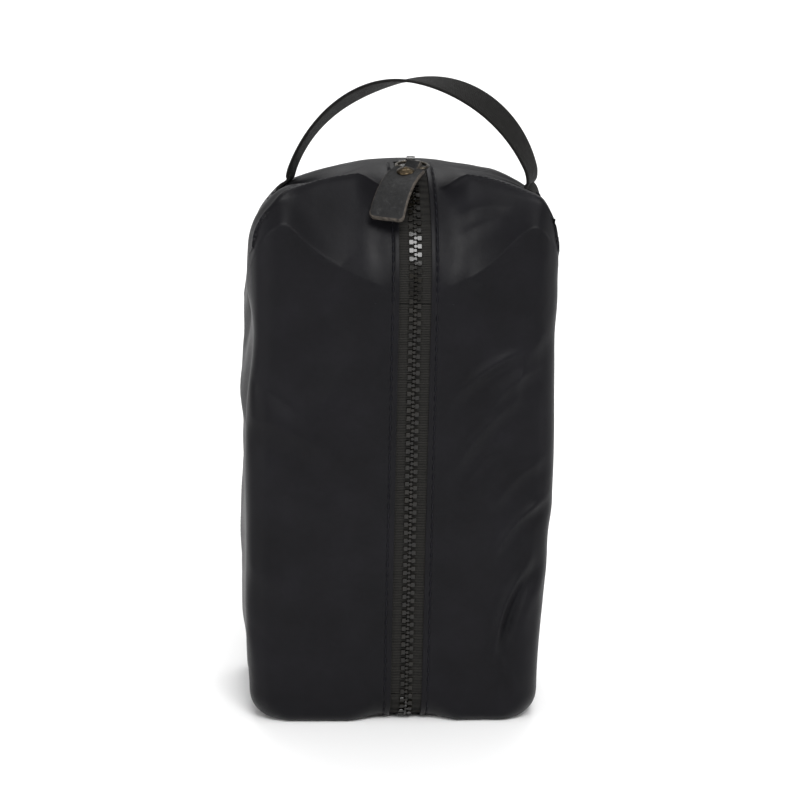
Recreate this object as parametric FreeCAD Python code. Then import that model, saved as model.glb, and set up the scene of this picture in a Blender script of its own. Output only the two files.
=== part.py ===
import FreeCAD, Part
import math
import os

# Shoe bag: an upright zipped pouch of nylon cloth with a webbing carrying handle.
# Millimetres. +Z is up, the zip is on the -Y face, and the origin is at the centre of the base.
# Cloth layers are measured by their depth below the outer surface of the bag.

Vector = FreeCAD.Vector
Placement = FreeCAD.Placement
Rotation = FreeCAD.Rotation
X_AXIS = Vector(1, 0, 0)
Z_AXIS = Vector(0, 0, 1)

# Body of the bag
HEIGHT = 327.0
HALF_WIDTH = 91.0
FRONT_Y = -60.0
REAR_Y = 62.0
TOP_RADIUS = 75.0
TOP_CENTRE_Y = FRONT_Y + TOP_RADIUS
TOP_CENTRE_Z = HEIGHT - TOP_RADIUS
REAR_RADIUS = REAR_Y - TOP_CENTRE_Y
REAR_CENTRE_Z = HEIGHT - REAR_RADIUS
BASE_RADIUS = 18.0
UPRIGHT_EDGE_RADIUS = 14.0
SHOULDER_RADIUS = 35.0
SHOULDER_CENTRE_X = HALF_WIDTH - SHOULDER_RADIUS
SHOULDER_CENTRE_Z = 282.0
FOOT_RADIUS = 16.0

# The arched top seen from the front. It clears the bag's height by CROWN_RISE at the middle, so
# that the zip lies on a plain bend, and it runs smoothly into the shoulders.
CROWN_RISE = 1.0
ARCH_RISE = HEIGHT + CROWN_RISE - SHOULDER_CENTRE_Z - SHOULDER_RADIUS
CROWN_DROP = (SHOULDER_CENTRE_X**2 - ARCH_RISE**2) / (2 * ARCH_RISE)
CROWN_CENTRE_Z = SHOULDER_CENTRE_Z - CROWN_DROP
CROWN_RADIUS = CROWN_DROP + SHOULDER_RADIUS + ARCH_RISE
SHOULDER_START_DEG = math.degrees(math.atan2(CROWN_DROP, SHOULDER_CENTRE_X))

# Where the panels meet
SIDE_SEAM_X = 74.0
TOP_SEAM_Y = 4.0
BASE_SEAM_Y = 0.0
ZIP_GAP_HALF = 9.5
LINING_GAP_HALF = 10.5
DOOR_GAP = 0.3

# Depths of the cloth layers, outside face then inside face
OUTER_CLOTH = (0.0, 0.8)
TAPE_LAYER = (0.9, 1.5)
LINING_LAYER = (1.7, 2.3)
BINDING_LAYER = (2.6, 3.4)
THREAD_LAYER = (-0.25, 0.0)
BINDING_HALF_WIDTH = 4.0

# Zip: moulded teeth in two rows on woven tape
TAPE_INNER_X = 1.15
TAPE_OUTER_X = 16.0
CHAIN_HALF_WIDTH = 3.7
TOOTH_HEAD = 0.9
TOOTH_LENGTH = 1.9
TOOTH_DEPTH = 2.4
TAPE_SLOT = (0.85, 1.55)
FRONT_TEETH = 48
BASE_TEETH = 14
TOP_TEETH = 19
TOP_PITCH_DEG = 3.743
TOP_STOP_DEG = 80.3
BASE_STOP_START = 1.0
BASE_STOP_LENGTH = 2.5

# Slider, parked near the top seam
SLIDER_DEG = 72.1
SLIDER_HALF_LENGTH = 9.5
UPPER_PLATE = (0.4, 2.0)
UPPER_FLANGE = (-0.6, 0.4)
LOWER_FLANGE = (-2.8, -1.8)
LOWER_PLATE = (-4.4, -2.8)
DIAMOND_HALF_WIDTH = 0.9
BRIDGE_HALF_WIDTH = 2.3
BRIDGE_HEIGHT = 7.4
TUNNEL_HEIGHT = 4.3

# Puller: a ring, a folded leather tab and its rivet
RING_RADIUS = 9.2
RING_WIRE_RADIUS = 0.9
RING_SLOPE_DEG = 6.0
TAB_YAW_DEG = -24.0
TAB_DROP_DEG = 29.0
TAB_LENGTH = 42.0
TAB_HALF_WIDTH = 9.9
TAB_HALF_THICKNESS = 1.5
NECK_HALF_WIDTH = 4.2
NECK_LENGTH = 1.8
RIVET_AT = 8.0
RIVET_RADIUS = 5.2
RIVET_POST_RADIUS = 1.5
POST_HOLE_RADIUS = 1.6

# Handle: flat webbing in an upright arch that rolls a little along its length
HANDLE_HALF_SPAN = 73.8
HANDLE_FOOT_Z = 294.0
HANDLE_RISE = 80.0
WEBBING_HALF_WIDTH = 12.5
WEBBING_THICKNESS = 1.5
HANDLE_YAW_DEG = -49.0
HANDLE_PIVOT_Z = 330.0
HANDLE_SECTIONS = 26
HANDLE_START_DEG = 10.0
WEBBING_END_LAYER = (-1.7, -0.2)
WEBBING_END_X = 72.5
WEBBING_END_Z = 288.0
BARTACK_LAYER = (-2.0, -1.7)

# Stitching beside the zip
STITCH_X = 12.8
STITCH_LENGTH = 4.0
STITCH_PITCH = 5.85
STITCH_HALF_WIDTH = 0.35

FAR = 500.0


def arc_point(centre, radius, degrees):
    """A point of a circle in a plane given by two coordinates."""
    angle = math.radians(degrees)
    return centre[0] + radius * math.cos(angle), centre[1] + radius * math.sin(angle)


def outline(pieces, to_vector):
    """A closed wire from pieces: ("line", a, b) and ("arc", centre, radius, from, to) in degrees."""
    edges = []
    for piece in pieces:
        if piece[0] == "line":
            edges.append(Part.LineSegment(to_vector(*piece[1]), to_vector(*piece[2])).toShape())
        else:
            _, centre, radius, start, end = piece
            points = [arc_point(centre, radius, a) for a in (start, (start + end) / 2, end)]
            edges.append(Part.Arc(*[to_vector(*p) for p in points]).toShape())
    return Part.Wire(edges)


def side_profile(depth):
    """The bag seen from the side, at a depth inside its outer surface, as a prism along X."""
    front, rear = FRONT_Y + depth, REAR_Y - depth
    top_centre = (TOP_CENTRE_Y, TOP_CENTRE_Z)
    rear_centre = (TOP_CENTRE_Y, REAR_CENTRE_Z)
    base_front = (FRONT_Y + BASE_RADIUS, BASE_RADIUS)
    base_rear = (REAR_Y - BASE_RADIUS, BASE_RADIUS)
    pieces = [
        ("arc", top_centre, TOP_RADIUS - depth, 180, 90),
        ("arc", rear_centre, REAR_RADIUS - depth, 90, 0),
        ("line", (rear, REAR_CENTRE_Z), (rear, BASE_RADIUS)),
        ("arc", base_rear, BASE_RADIUS - depth, 0, -90),
        ("line", (base_rear[0], depth), (base_front[0], depth)),
        ("arc", base_front, BASE_RADIUS - depth, 270, 180),
        ("line", (front, BASE_RADIUS), (front, TOP_CENTRE_Z)),
    ]
    wire = outline(pieces, lambda y, z: Vector(-FAR, y, z))
    return Part.Face(wire).extrude(X_AXIS * (2 * FAR))


def front_profile(depth):
    """The bag seen from the front: an arched top, sloping shoulders and rounded feet."""
    side = HALF_WIDTH - depth
    shoulder = SHOULDER_RADIUS - depth
    foot = FOOT_RADIUS - depth
    foot_x = HALF_WIDTH - FOOT_RADIUS
    right_top = arc_point((SHOULDER_CENTRE_X, SHOULDER_CENTRE_Z), shoulder, SHOULDER_START_DEG)
    left_top = (-right_top[0], right_top[1])
    crown_top = (0.0, CROWN_CENTRE_Z + CROWN_RADIUS - depth)
    right_centre = (SHOULDER_CENTRE_X, SHOULDER_CENTRE_Z)
    left_centre = (-SHOULDER_CENTRE_X, SHOULDER_CENTRE_Z)

    def upright(x, z):
        return Vector(x, -FAR, z)

    crown = Part.Arc(upright(*left_top), upright(*crown_top), upright(*right_top)).toShape()
    pieces = [
        ("arc", right_centre, shoulder, SHOULDER_START_DEG, 0),
        ("line", (side, SHOULDER_CENTRE_Z), (side, FOOT_RADIUS)),
        ("arc", (foot_x, FOOT_RADIUS), foot, 0, -90),
        ("line", (foot_x, depth), (-foot_x, depth)),
        ("arc", (-foot_x, FOOT_RADIUS), foot, 270, 180),
        ("line", (-side, FOOT_RADIUS), (-side, SHOULDER_CENTRE_Z)),
        ("arc", left_centre, shoulder, 180, 180 - SHOULDER_START_DEG),
    ]
    wire = Part.Wire([crown] + outline(pieces, upright).Edges)
    return Part.Face(wire).extrude(Vector(0, 2 * FAR, 0))


def plan_profile(depth):
    """The bag seen from above: a rectangle with rounded upright edges."""
    side, front, rear = HALF_WIDTH - depth, FRONT_Y + depth, REAR_Y - depth
    radius = UPRIGHT_EDGE_RADIUS - depth
    x = HALF_WIDTH - UPRIGHT_EDGE_RADIUS
    near, far = FRONT_Y + UPRIGHT_EDGE_RADIUS, REAR_Y - UPRIGHT_EDGE_RADIUS
    pieces = [
        ("arc", (x, far), radius, 0, 90),
        ("line", (x, rear), (-x, rear)),
        ("arc", (-x, far), radius, 90, 180),
        ("line", (-side, far), (-side, near)),
        ("arc", (-x, near), radius, 180, 270),
        ("line", (-x, front), (x, front)),
        ("arc", (x, near), radius, 270, 360),
        ("line", (side, near), (side, far)),
    ]
    wire = outline(pieces, lambda px, py: Vector(px, py, -FAR))
    return Part.Face(wire).extrude(Z_AXIS * (2 * FAR))


def bag_solid(depth):
    """The whole bag as a solid, its surface moved inwards by depth."""
    return side_profile(depth).common(front_profile(depth)).common(plan_profile(depth))


def layer(depths):
    """A closed shell of cloth between two depths."""
    outside, inside = depths
    return bag_solid(outside).cut(bag_solid(inside))


def block(x, y, z):
    """A box from three (low, high) pairs."""
    corner = Vector(x[0], y[0], z[0])
    return Part.makeBox(x[1] - x[0], y[1] - y[0], z[1] - z[0], corner)


def sided(side, low, high):
    """The X range from low to high away from the middle, on side -1 or +1."""
    return (low, high) if side > 0 else (-high, -low)


SIDES = {"left": -1, "right": 1}
ANY = (-FAR, FAR)
ABOVE_FRONT = (TOP_CENTRE_Z, FAR)
BELOW_FRONT = (-FAR, BASE_RADIUS)
DOOR_Z = (BASE_RADIUS + DOOR_GAP, TOP_CENTRE_Z - DOOR_GAP)
IN_FRONT_OF_TOP_SEAM = (-FAR, TOP_SEAM_Y)
IN_FRONT_OF_BASE_SEAM = (-FAR, BASE_SEAM_Y)
FRONT_HALF = (-FAR, 0.0)


def outer_panels():
    """The cut panels of the outer cloth."""
    shell = layer(OUTER_CLOTH)
    middle = (-SIDE_SEAM_X, SIDE_SEAM_X)
    regions = {
        "outer_back_panel": (middle, (20, FAR), (BASE_RADIUS, REAR_CENTRE_Z)),
        "outer_top_rear": (middle, (TOP_SEAM_Y, FAR), (REAR_CENTRE_Z, FAR)),
        "outer_bottom_rear": (middle, (BASE_SEAM_Y, FAR), BELOW_FRONT),
    }
    for name, side in SIDES.items():
        cloth_x = sided(side, ZIP_GAP_HALF, SIDE_SEAM_X)
        door_x = sided(side, ZIP_GAP_HALF, SIDE_SEAM_X - DOOR_GAP)
        regions[f"outer_side_{name}"] = (sided(side, SIDE_SEAM_X, FAR), ANY, ANY)
        regions[f"outer_top_front_{name}"] = (cloth_x, IN_FRONT_OF_TOP_SEAM, ABOVE_FRONT)
        regions[f"outer_bottom_front_{name}"] = (cloth_x, IN_FRONT_OF_BASE_SEAM, BELOW_FRONT)
        regions[f"front_panel_{name}"] = (door_x, FRONT_HALF, DOOR_Z)
    return {name: shell.common(block(*region)) for name, region in regions.items()}


def lining_panels():
    """The lining panels of the inner bag, with the two front ones that open with the zip."""
    shell = layer(LINING_LAYER)
    middle = (-SIDE_SEAM_X, SIDE_SEAM_X)
    gap = (-LINING_GAP_HALF, LINING_GAP_HALF)
    top = shell.common(block(middle, ANY, ABOVE_FRONT))
    base = shell.common(block(middle, ANY, BELOW_FRONT))
    panels = {
        "lining_back": shell.common(block(middle, (20, FAR), (BASE_RADIUS, TOP_CENTRE_Z))),
        "lining_top": top.cut(block(gap, IN_FRONT_OF_TOP_SEAM, ABOVE_FRONT)),
        "lining_base": base.cut(block(gap, IN_FRONT_OF_BASE_SEAM, BELOW_FRONT)),
    }
    for name, side in SIDES.items():
        door_x = sided(side, LINING_GAP_HALF, SIDE_SEAM_X - DOOR_GAP)
        panels[f"lining_front_{name}"] = shell.common(block(door_x, FRONT_HALF, DOOR_Z))
        panels[f"lining_side_{name}"] = shell.common(block(sided(side, SIDE_SEAM_X, FAR), ANY, ANY))
    return panels


def zip_tapes():
    """Woven tape on each side of the zip, in its top, front and bottom runs."""
    shell = layer(TAPE_LAYER)
    tapes = {}
    for name, side in SIDES.items():
        x = sided(side, TAPE_INNER_X, TAPE_OUTER_X)
        tapes[f"zip_tape_{name}_top"] = shell.common(block(x, IN_FRONT_OF_TOP_SEAM, ABOVE_FRONT))
        tapes[f"zip_tape_{name}_front"] = shell.common(block(x, FRONT_HALF, DOOR_Z))
        tapes[f"zip_tape_{name}_bottom"] = shell.common(block(x, IN_FRONT_OF_BASE_SEAM, BELOW_FRONT))
    return tapes


def seam_bindings():
    """Bias binding that covers the raw seams inside the bag."""
    shell = layer(BINDING_LAYER)
    half = BINDING_HALF_WIDTH
    across = (-SIDE_SEAM_X + 6, SIDE_SEAM_X - 6)
    bindings = {
        "seam_binding_top": (across, (TOP_SEAM_Y - 1.5, TOP_SEAM_Y + 2 * half - 1.5), (300, FAR)),
        "seam_binding_bottom": (across, (BASE_SEAM_Y - half, BASE_SEAM_Y + half), (-FAR, 10)),
    }
    for name, side in SIDES.items():
        x = sided(side, SIDE_SEAM_X - half, SIDE_SEAM_X + half)
        bindings[f"corner_binding_top_{name}"] = (x, (-25, 42), (295, FAR))
        bindings[f"corner_binding_bottom_{name}"] = (x, (-40, 42), (-FAR, 12))
    return {name: shell.common(block(*region)) for name, region in bindings.items()}


def zip_frame(run, distance):
    """Where a zip element sits: its local +Y runs up the zip and its local +Z points outwards.

    The base run is measured forwards from the base seam, the front run upwards from the base bend,
    and the top run in degrees round the top bend.
    """
    if run == "top":
        y, z = arc_point((TOP_CENTRE_Y, TOP_CENTRE_Z), TOP_RADIUS, 180 - distance)
        return Placement(Vector(0, y, z), Rotation(X_AXIS, 90 - distance))
    if run == "front":
        return Placement(Vector(0, FRONT_Y, BASE_RADIUS + distance), Rotation(X_AXIS, 90))
    flat = BASE_SEAM_Y - (FRONT_Y + BASE_RADIUS)
    if distance <= flat:
        return Placement(Vector(0, BASE_SEAM_Y - distance, 0), Rotation(X_AXIS, 180))
    turned = math.degrees((distance - flat) / BASE_RADIUS)
    y, z = arc_point((FRONT_Y + BASE_RADIUS, BASE_RADIUS), BASE_RADIUS, 270 - turned)
    return Placement(Vector(0, y, z), Rotation(X_AXIS, 180 - turned))


def base_run_length():
    """The length of the zip from the base seam to the foot of the front."""
    return BASE_SEAM_Y - (FRONT_Y + BASE_RADIUS) + math.pi / 2 * BASE_RADIUS


def moved(shape, placement):
    """A copy of a shape in a new place."""
    copy = shape.copy()
    copy.transformShape(placement.toMatrix())
    return copy


def gripping_block(section, length):
    """A solid with the given (x, depth) section, centred on its frame and reaching along the zip."""
    points = [Vector(x, -length / 2, -depth) for x, depth in section]
    face = Part.Face(Part.makePolygon(points + points[:1]))
    return face.extrude(Vector(0, length, 0))


def tooth(side, head):
    """A moulded tooth that grips the tape edge from both faces and reaches head past the middle."""
    edge = side * CHAIN_HALF_WIDTH
    grip = side * TAPE_INNER_X
    section = [
        (edge, 0.0),
        (-side * head, 0.0),
        (-side * head, TOOTH_DEPTH),
        (edge, TOOTH_DEPTH),
        (edge, TAPE_SLOT[1]),
        (grip, TAPE_SLOT[1]),
        (grip, TAPE_SLOT[0]),
        (edge, TAPE_SLOT[0]),
    ]
    return gripping_block(section, TOOTH_LENGTH)


def zip_teeth():
    """Both rows of teeth, one group for each run, staggered so that they mesh."""
    front_pitch = (TOP_CENTRE_Z - BASE_RADIUS) / FRONT_TEETH
    base_start = BASE_STOP_START + BASE_STOP_LENGTH + 0.5
    base_pitch = (base_run_length() - base_start) / BASE_TEETH
    runs = {
        "front": (0.0, front_pitch, FRONT_TEETH),
        "bottom": (base_start, base_pitch, BASE_TEETH),
        "top": (0.0, TOP_PITCH_DEG, TOP_TEETH),
    }
    groups = {}
    for name, side in SIDES.items():
        one = tooth(side, TOOTH_HEAD)
        stagger = 0.25 if side < 0 else 0.75
        for run, (start, pitch, count) in runs.items():
            kind = "base" if run == "bottom" else run
            frames = [zip_frame(kind, start + (i + stagger) * pitch) for i in range(count)]
            groups[f"zip_teeth_{name}_{run}"] = Part.Compound([moved(one, f) for f in frames])
    return groups


def zip_stops():
    """A clamp on each tape above the slider, and one block across both tapes at the base."""
    stops = {}
    for name, side in SIDES.items():
        clamp = tooth(side, -TAPE_INNER_X + 0.2)
        stops[f"zip_top_stop_{name}"] = moved(clamp, zip_frame("top", TOP_STOP_DEG))
    half = CHAIN_HALF_WIDTH
    inner = TAPE_INNER_X
    low, high = TAPE_SLOT
    section = [
        (-half, 0.0),
        (half, 0.0),
        (half, low),
        (inner, low),
        (inner, high),
        (half, high),
        (half, TOOTH_DEPTH),
        (-half, TOOTH_DEPTH),
        (-half, high),
        (-inner, high),
        (-inner, low),
        (-half, low),
    ]
    middle = BASE_STOP_START + BASE_STOP_LENGTH / 2
    stops["zip_bottom_stop"] = moved(gripping_block(section, BASE_STOP_LENGTH), zip_frame("base", middle))
    return stops


def topstitch():
    """A row of thread stitches beside the zip on each side."""
    shell = layer(THREAD_LAYER)
    rows = {}
    for name, side in SIDES.items():
        x = sided(side, STITCH_X - STITCH_HALF_WIDTH, STITCH_X + STITCH_HALF_WIDTH)
        front_count = int((DOOR_Z[1] - DOOR_Z[0]) / STITCH_PITCH)
        starts = [DOOR_Z[0] + 0.9 + i * STITCH_PITCH for i in range(front_count)]
        bars = [block(x, FRONT_HALF, (z, z + STITCH_LENGTH)) for z in starts]
        rows[f"topstitch_{name}_front"] = Part.Compound([shell.common(bar) for bar in bars])
        bent = shell.common(block(x, IN_FRONT_OF_TOP_SEAM, ABOVE_FRONT))
        rows[f"topstitch_{name}_top"] = cut_round_bend(bent, "top")
        bent = shell.common(block(x, (-FAR, FRONT_Y + BASE_RADIUS), (0.3, BASE_RADIUS)))
        rows[f"topstitch_{name}_bottom"] = cut_round_bend(bent, "base")
    return rows


def cut_round_bend(strip, run):
    """A curved strip of thread divided into single stitches."""
    if run == "top":
        step = math.degrees(STITCH_PITCH / TOP_RADIUS)
        places = [1.8 + i * step for i in range(17)]
    else:
        flat = BASE_SEAM_Y - (FRONT_Y + BASE_RADIUS)
        places = [flat + 8.0 + i * STITCH_PITCH for i in range(3)]
    half = STITCH_LENGTH / 2
    cutter = block((-FAR / 10, FAR / 10), (-half, half), (-3, 3))
    return Part.Compound([strip.common(moved(cutter, zip_frame(run, place))) for place in places])


def bend_band(low, high):
    """Metal bent to the top bend between two heights above the cloth, in the slider's own frame."""
    length = 2 * TAPE_OUTER_X
    centre = Vector(-TAPE_OUTER_X, 0, -TOP_RADIUS)
    outer = Part.makeCylinder(TOP_RADIUS + high, length, centre, X_AXIS)
    return outer.cut(Part.makeCylinder(TOP_RADIUS + low, length, centre, X_AXIS))


def plan_prism(half_outline):
    """A prism through the slider from the right half of its outline, as (half width, distance)."""
    right = [Vector(x, y, -10) for x, y in half_outline]
    left = [Vector(-x, y, -10) for x, y in reversed(half_outline)]
    face = Part.Face(Part.makePolygon(right + left + right[:1]))
    return face.extrude(Z_AXIS * 20)


def slider_body():
    """Two curved plates with flanges, joined by the wedge that parts the teeth."""
    end = SLIDER_HALF_LENGTH
    outside = plan_prism([(4.6, -end), (5.3, -end + 1.5), (6.6, 3.0), (6.6, end - 1.5), (5.4, end)])
    channel = plan_prism([(3.95, -end - 3), (3.95, -3.0), (5.2, 4.0), (5.2, end + 3)])
    walls = outside.cut(channel)
    wedge = plan_prism([(0.3, 0.5), (DIAMOND_HALF_WIDTH, 3.0), (DIAMOND_HALF_WIDTH, 8.0)])
    solids = [
        bend_band(*UPPER_PLATE).common(outside),
        bend_band(*UPPER_FLANGE).common(walls),
        bend_band(*LOWER_FLANGE).common(walls),
        bend_band(*LOWER_PLATE).common(outside),
        bend_band(LOWER_PLATE[1], UPPER_PLATE[0]).common(wedge),
    ]
    return solids[0].multiFuse(solids[1:]).removeSplitter()


def slider_bridge():
    """The arched bridge on the slider that holds the ring."""
    foot, rise, wall = 7.5, BRIDGE_HEIGHT, 1.5
    base = 1.0

    def place(y, z):
        return Vector(-BRIDGE_HALF_WIDTH, y, z)

    inside = foot - wall
    outer = Part.Arc(place(-foot, base), place(0, rise), place(foot, base)).toShape()
    inner = Part.Arc(place(inside, base), place(0, rise - wall), place(-inside, base)).toShape()
    right = Part.LineSegment(place(foot, base), place(inside, base)).toShape()
    left = Part.LineSegment(place(-inside, base), place(-foot, base)).toShape()
    arch = Part.Face(Part.Wire([outer, right, inner, left])).extrude(X_AXIS * (2 * BRIDGE_HALF_WIDTH))
    plate = Part.makeCylinder(TOP_RADIUS + UPPER_PLATE[1], 40, Vector(-20, 0, -TOP_RADIUS), X_AXIS)
    return arch.cut(plate)


def slider_lock_spring():
    """The leaf spring under the bridge that drops the locking pin."""
    return bend_band(UPPER_PLATE[1], UPPER_PLATE[1] + 0.5).common(block((-1.2, 1.2), (-5, 5), (0, 10)))


def ring_frame():
    """The ring's own frame: its centre, with local -Y pointing forwards along the ring."""
    tunnel = zip_frame("top", SLIDER_DEG).multVec(Vector(0, 0, TUNNEL_HEIGHT))
    turn = Rotation(X_AXIS, RING_SLOPE_DEG)
    return Placement(tunnel + turn.multVec(Vector(0, -RING_RADIUS, 0)), turn)


def tab_frame(drop):
    """The tab's own frame at the ring, with local -Y along the tab and drop degrees below the ring."""
    yaw = Placement(Vector(), Rotation(Z_AXIS, TAB_YAW_DEG))
    reach = Placement(Vector(0, -RING_RADIUS, 0), Rotation(X_AXIS, drop))
    return ring_frame().multiply(yaw).multiply(reach)


def leather_tab():
    """A leather strip folded round the ring, with a narrow neck and rounded free corners."""
    thick, fold, wide = TAB_HALF_THICKNESS, 2.4, TAB_HALF_WIDTH

    def place(along, up):
        return Vector(-wide, -along, up)

    corners = [(2.7, -thick), (TAB_LENGTH, -thick), (TAB_LENGTH, thick), (2.7, thick), (0.4, fold)]
    corners.append((-3.0, fold))
    top_line = Part.makePolygon([place(*c) for c in [(-3.0, -fold), (0.4, -fold)] + corners])
    back = Part.Arc(place(-3.0, fold), place(-3.0 - fold, 0), place(-3.0, -fold)).toShape()
    strip = Part.Face(Part.Wire(top_line.Edges + [back])).extrude(X_AXIS * (2 * wide))
    slot_half, near, far = 1.6, -1.9, 0.1
    slot = block((-wide, wide), (-far, -near), (-slot_half, slot_half))
    for along in (near, far):
        slot = slot.fuse(Part.makeCylinder(slot_half, 2 * wide, place(along, 0), X_AXIS))
    strip = strip.cut(slot)
    for side in (-1, 1):
        beside = sided(side, NECK_HALF_WIDTH, wide + 1)
        strip = strip.cut(block(beside, (-NECK_LENGTH, 10), (-5, 5)))
    rounding = Part.makeBox(2 * wide, TAB_LENGTH + 20, 10, Vector(-wide, -TAB_LENGTH, -5))
    free_edges = [e for e in rounding.Edges if is_free_corner(e)]
    strip = strip.common(rounding.makeFillet(3.0, free_edges))
    post_hole = Part.makeCylinder(POST_HOLE_RADIUS, 10, Vector(0, -RIVET_AT, -5))
    return strip.cut(post_hole)


def is_free_corner(edge):
    """True for an upright edge at the tab's free end."""
    ends = [v.Point for v in edge.Vertexes]
    upright = abs(ends[0].z - ends[1].z) > 1
    return upright and abs(ends[0].y + TAB_LENGTH) < 0.01


def rivet_cap():
    """A low dome with a flat rim on the face of the tab."""
    centre = Vector(0, -RIVET_AT, TAB_HALF_THICKNESS)
    rim = Part.makeCylinder(RIVET_RADIUS, 0.7, centre)
    dome_radius = 7.0
    dome = Part.makeSphere(dome_radius, centre + Vector(0, 0, 2.2 - dome_radius))
    dome = dome.common(Part.makeCylinder(RIVET_RADIUS - 0.8, 5, centre))
    return rim.fuse(dome).removeSplitter()


def rivet_post():
    """The post through both leather layers, with its disc behind the tab."""
    back = Vector(0, -RIVET_AT, -TAB_HALF_THICKNESS)
    post = Part.makeCylinder(RIVET_POST_RADIUS, 2 * TAB_HALF_THICKNESS, back)
    disc = Part.makeCylinder(4.0, 0.8, back - Vector(0, 0, 0.8))
    return post.fuse(disc).removeSplitter()


def handle_section(degrees):
    """A rectangle of webbing across the handle's arch, square to its path."""
    angle = math.radians(degrees)
    x = -HANDLE_HALF_SPAN * math.cos(angle)
    z = HANDLE_FOOT_Z + HANDLE_RISE * math.sin(angle)
    along = Vector(HANDLE_HALF_SPAN * math.sin(angle), 0, HANDLE_RISE * math.cos(angle)).normalize()
    yaw = math.radians(HANDLE_YAW_DEG) * math.sin(angle)
    across = Vector(-math.sin(yaw), math.cos(yaw), 0)
    across = (across - along * across.dot(along)).normalize()
    face = along.cross(across)
    corners = []
    for side, up in ((-1, -0.5), (1, -0.5), (1, 0.5), (-1, 0.5)):
        offset = across * (side * WEBBING_HALF_WIDTH) + face * (up * WEBBING_THICKNESS)
        corners.append(Vector(x, 0, z) + offset)
    return Part.makePolygon(corners + corners[:1])


def handle_webbing():
    """The webbing between the two sewn ends, with ends rounded about the line it swings on."""
    span = 180 - 2 * HANDLE_START_DEG
    angles = [HANDLE_START_DEG + span * i / (HANDLE_SECTIONS - 1) for i in range(HANDLE_SECTIONS)]
    ribbon = Part.makeLoft([handle_section(a) for a in angles], True, True)
    above = block((-100, 100), (-50, 50), (HANDLE_PIVOT_Z, HANDLE_PIVOT_Z + 100))
    round_end = Part.makeCylinder(WEBBING_HALF_WIDTH, 200, Vector(-100, 0, HANDLE_PIVOT_Z), X_AXIS)
    return ribbon.common(above.fuse(round_end))


def handle_ends():
    """The webbing ends sewn down over the shoulders, and the bar tacks that hold them."""
    cloth = layer(WEBBING_END_LAYER)
    thread = layer(BARTACK_LAYER)
    width = (-WEBBING_HALF_WIDTH, WEBBING_HALF_WIDTH)
    tack_width = (-WEBBING_HALF_WIDTH + 2, WEBBING_HALF_WIDTH - 2)
    nodes = {}
    for name, side in SIDES.items():
        strip = block(sided(side, WEBBING_END_X, FAR), width, (WEBBING_END_Z, FAR))
        nodes[f"handle_end_{name}"] = cloth.common(strip)
        rows = [WEBBING_END_Z + 2 + 3.2 * i for i in range(6)]
        bars = [block(sided(side, WEBBING_END_X, FAR), tack_width, (z, z + 1.2)) for z in rows]
        nodes[f"handle_bartack_{name}"] = Part.Compound([thread.common(bar) for bar in bars])
    return nodes


def all_nodes():
    """Every piece of the bag by name."""
    nodes = {}
    for family in (outer_panels, lining_panels, zip_tapes, seam_bindings, zip_teeth, zip_stops):
        nodes.update(family())
    nodes.update(topstitch())
    nodes.update(handle_ends())
    nodes["handle_webbing"] = handle_webbing()
    at_slider = zip_frame("top", SLIDER_DEG)
    nodes["slider_body"] = moved(slider_body(), at_slider)
    nodes["slider_bridge"] = moved(slider_bridge(), at_slider)
    nodes["slider_lock_spring"] = moved(slider_lock_spring(), at_slider)
    nodes["pull_ring"] = moved(Part.makeTorus(RING_RADIUS, RING_WIRE_RADIUS), ring_frame())
    on_tab = tab_frame(TAB_DROP_DEG)
    nodes["pull_tab"] = moved(leather_tab(), on_tab)
    nodes["rivet_cap"] = moved(rivet_cap(), on_tab)
    nodes["rivet_post"] = moved(rivet_post(), on_tab)
    return nodes


def main():
    os.makedirs("parts", exist_ok=True)
    for name, shape in sorted(all_nodes().items()):
        shape.exportStep(f"parts/{name}.step")
        solids = shape.Solids
        valid = all(s.isValid() for s in solids)
        volume = sum(s.Volume for s in solids)
        print(f"{name}: {len(solids)} solids, volume {volume:.1f} mm3, valid {valid}")


if __name__ == "__main__":
    main()
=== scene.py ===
import math
import bpy
import numpy as np
from mathutils import Matrix, Quaternion, Vector, noise


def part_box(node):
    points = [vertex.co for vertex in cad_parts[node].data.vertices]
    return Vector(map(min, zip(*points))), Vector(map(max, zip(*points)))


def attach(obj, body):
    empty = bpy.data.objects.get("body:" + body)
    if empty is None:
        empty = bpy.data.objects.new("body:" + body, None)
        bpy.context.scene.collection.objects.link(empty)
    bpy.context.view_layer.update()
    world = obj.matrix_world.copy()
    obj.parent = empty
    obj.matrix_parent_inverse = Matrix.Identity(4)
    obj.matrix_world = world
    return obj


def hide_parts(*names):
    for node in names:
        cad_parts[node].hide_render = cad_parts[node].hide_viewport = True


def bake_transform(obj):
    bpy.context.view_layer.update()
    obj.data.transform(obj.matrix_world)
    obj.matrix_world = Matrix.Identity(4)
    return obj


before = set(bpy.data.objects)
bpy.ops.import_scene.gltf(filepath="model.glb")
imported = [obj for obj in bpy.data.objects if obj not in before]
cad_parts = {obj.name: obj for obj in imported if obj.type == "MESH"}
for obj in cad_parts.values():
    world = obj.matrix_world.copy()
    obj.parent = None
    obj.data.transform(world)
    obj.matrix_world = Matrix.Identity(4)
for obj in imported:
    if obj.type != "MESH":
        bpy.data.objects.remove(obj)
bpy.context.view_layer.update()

# Shapes are worked out in millimetres and turned into metres when a mesh is made.
MM = 0.001


def frame_mm(node, corner, axis):
    """One side of a CAD node's box, in millimetres. Corner 0 is the lowest and 1 the highest."""
    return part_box(node)[corner][axis] / MM


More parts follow.
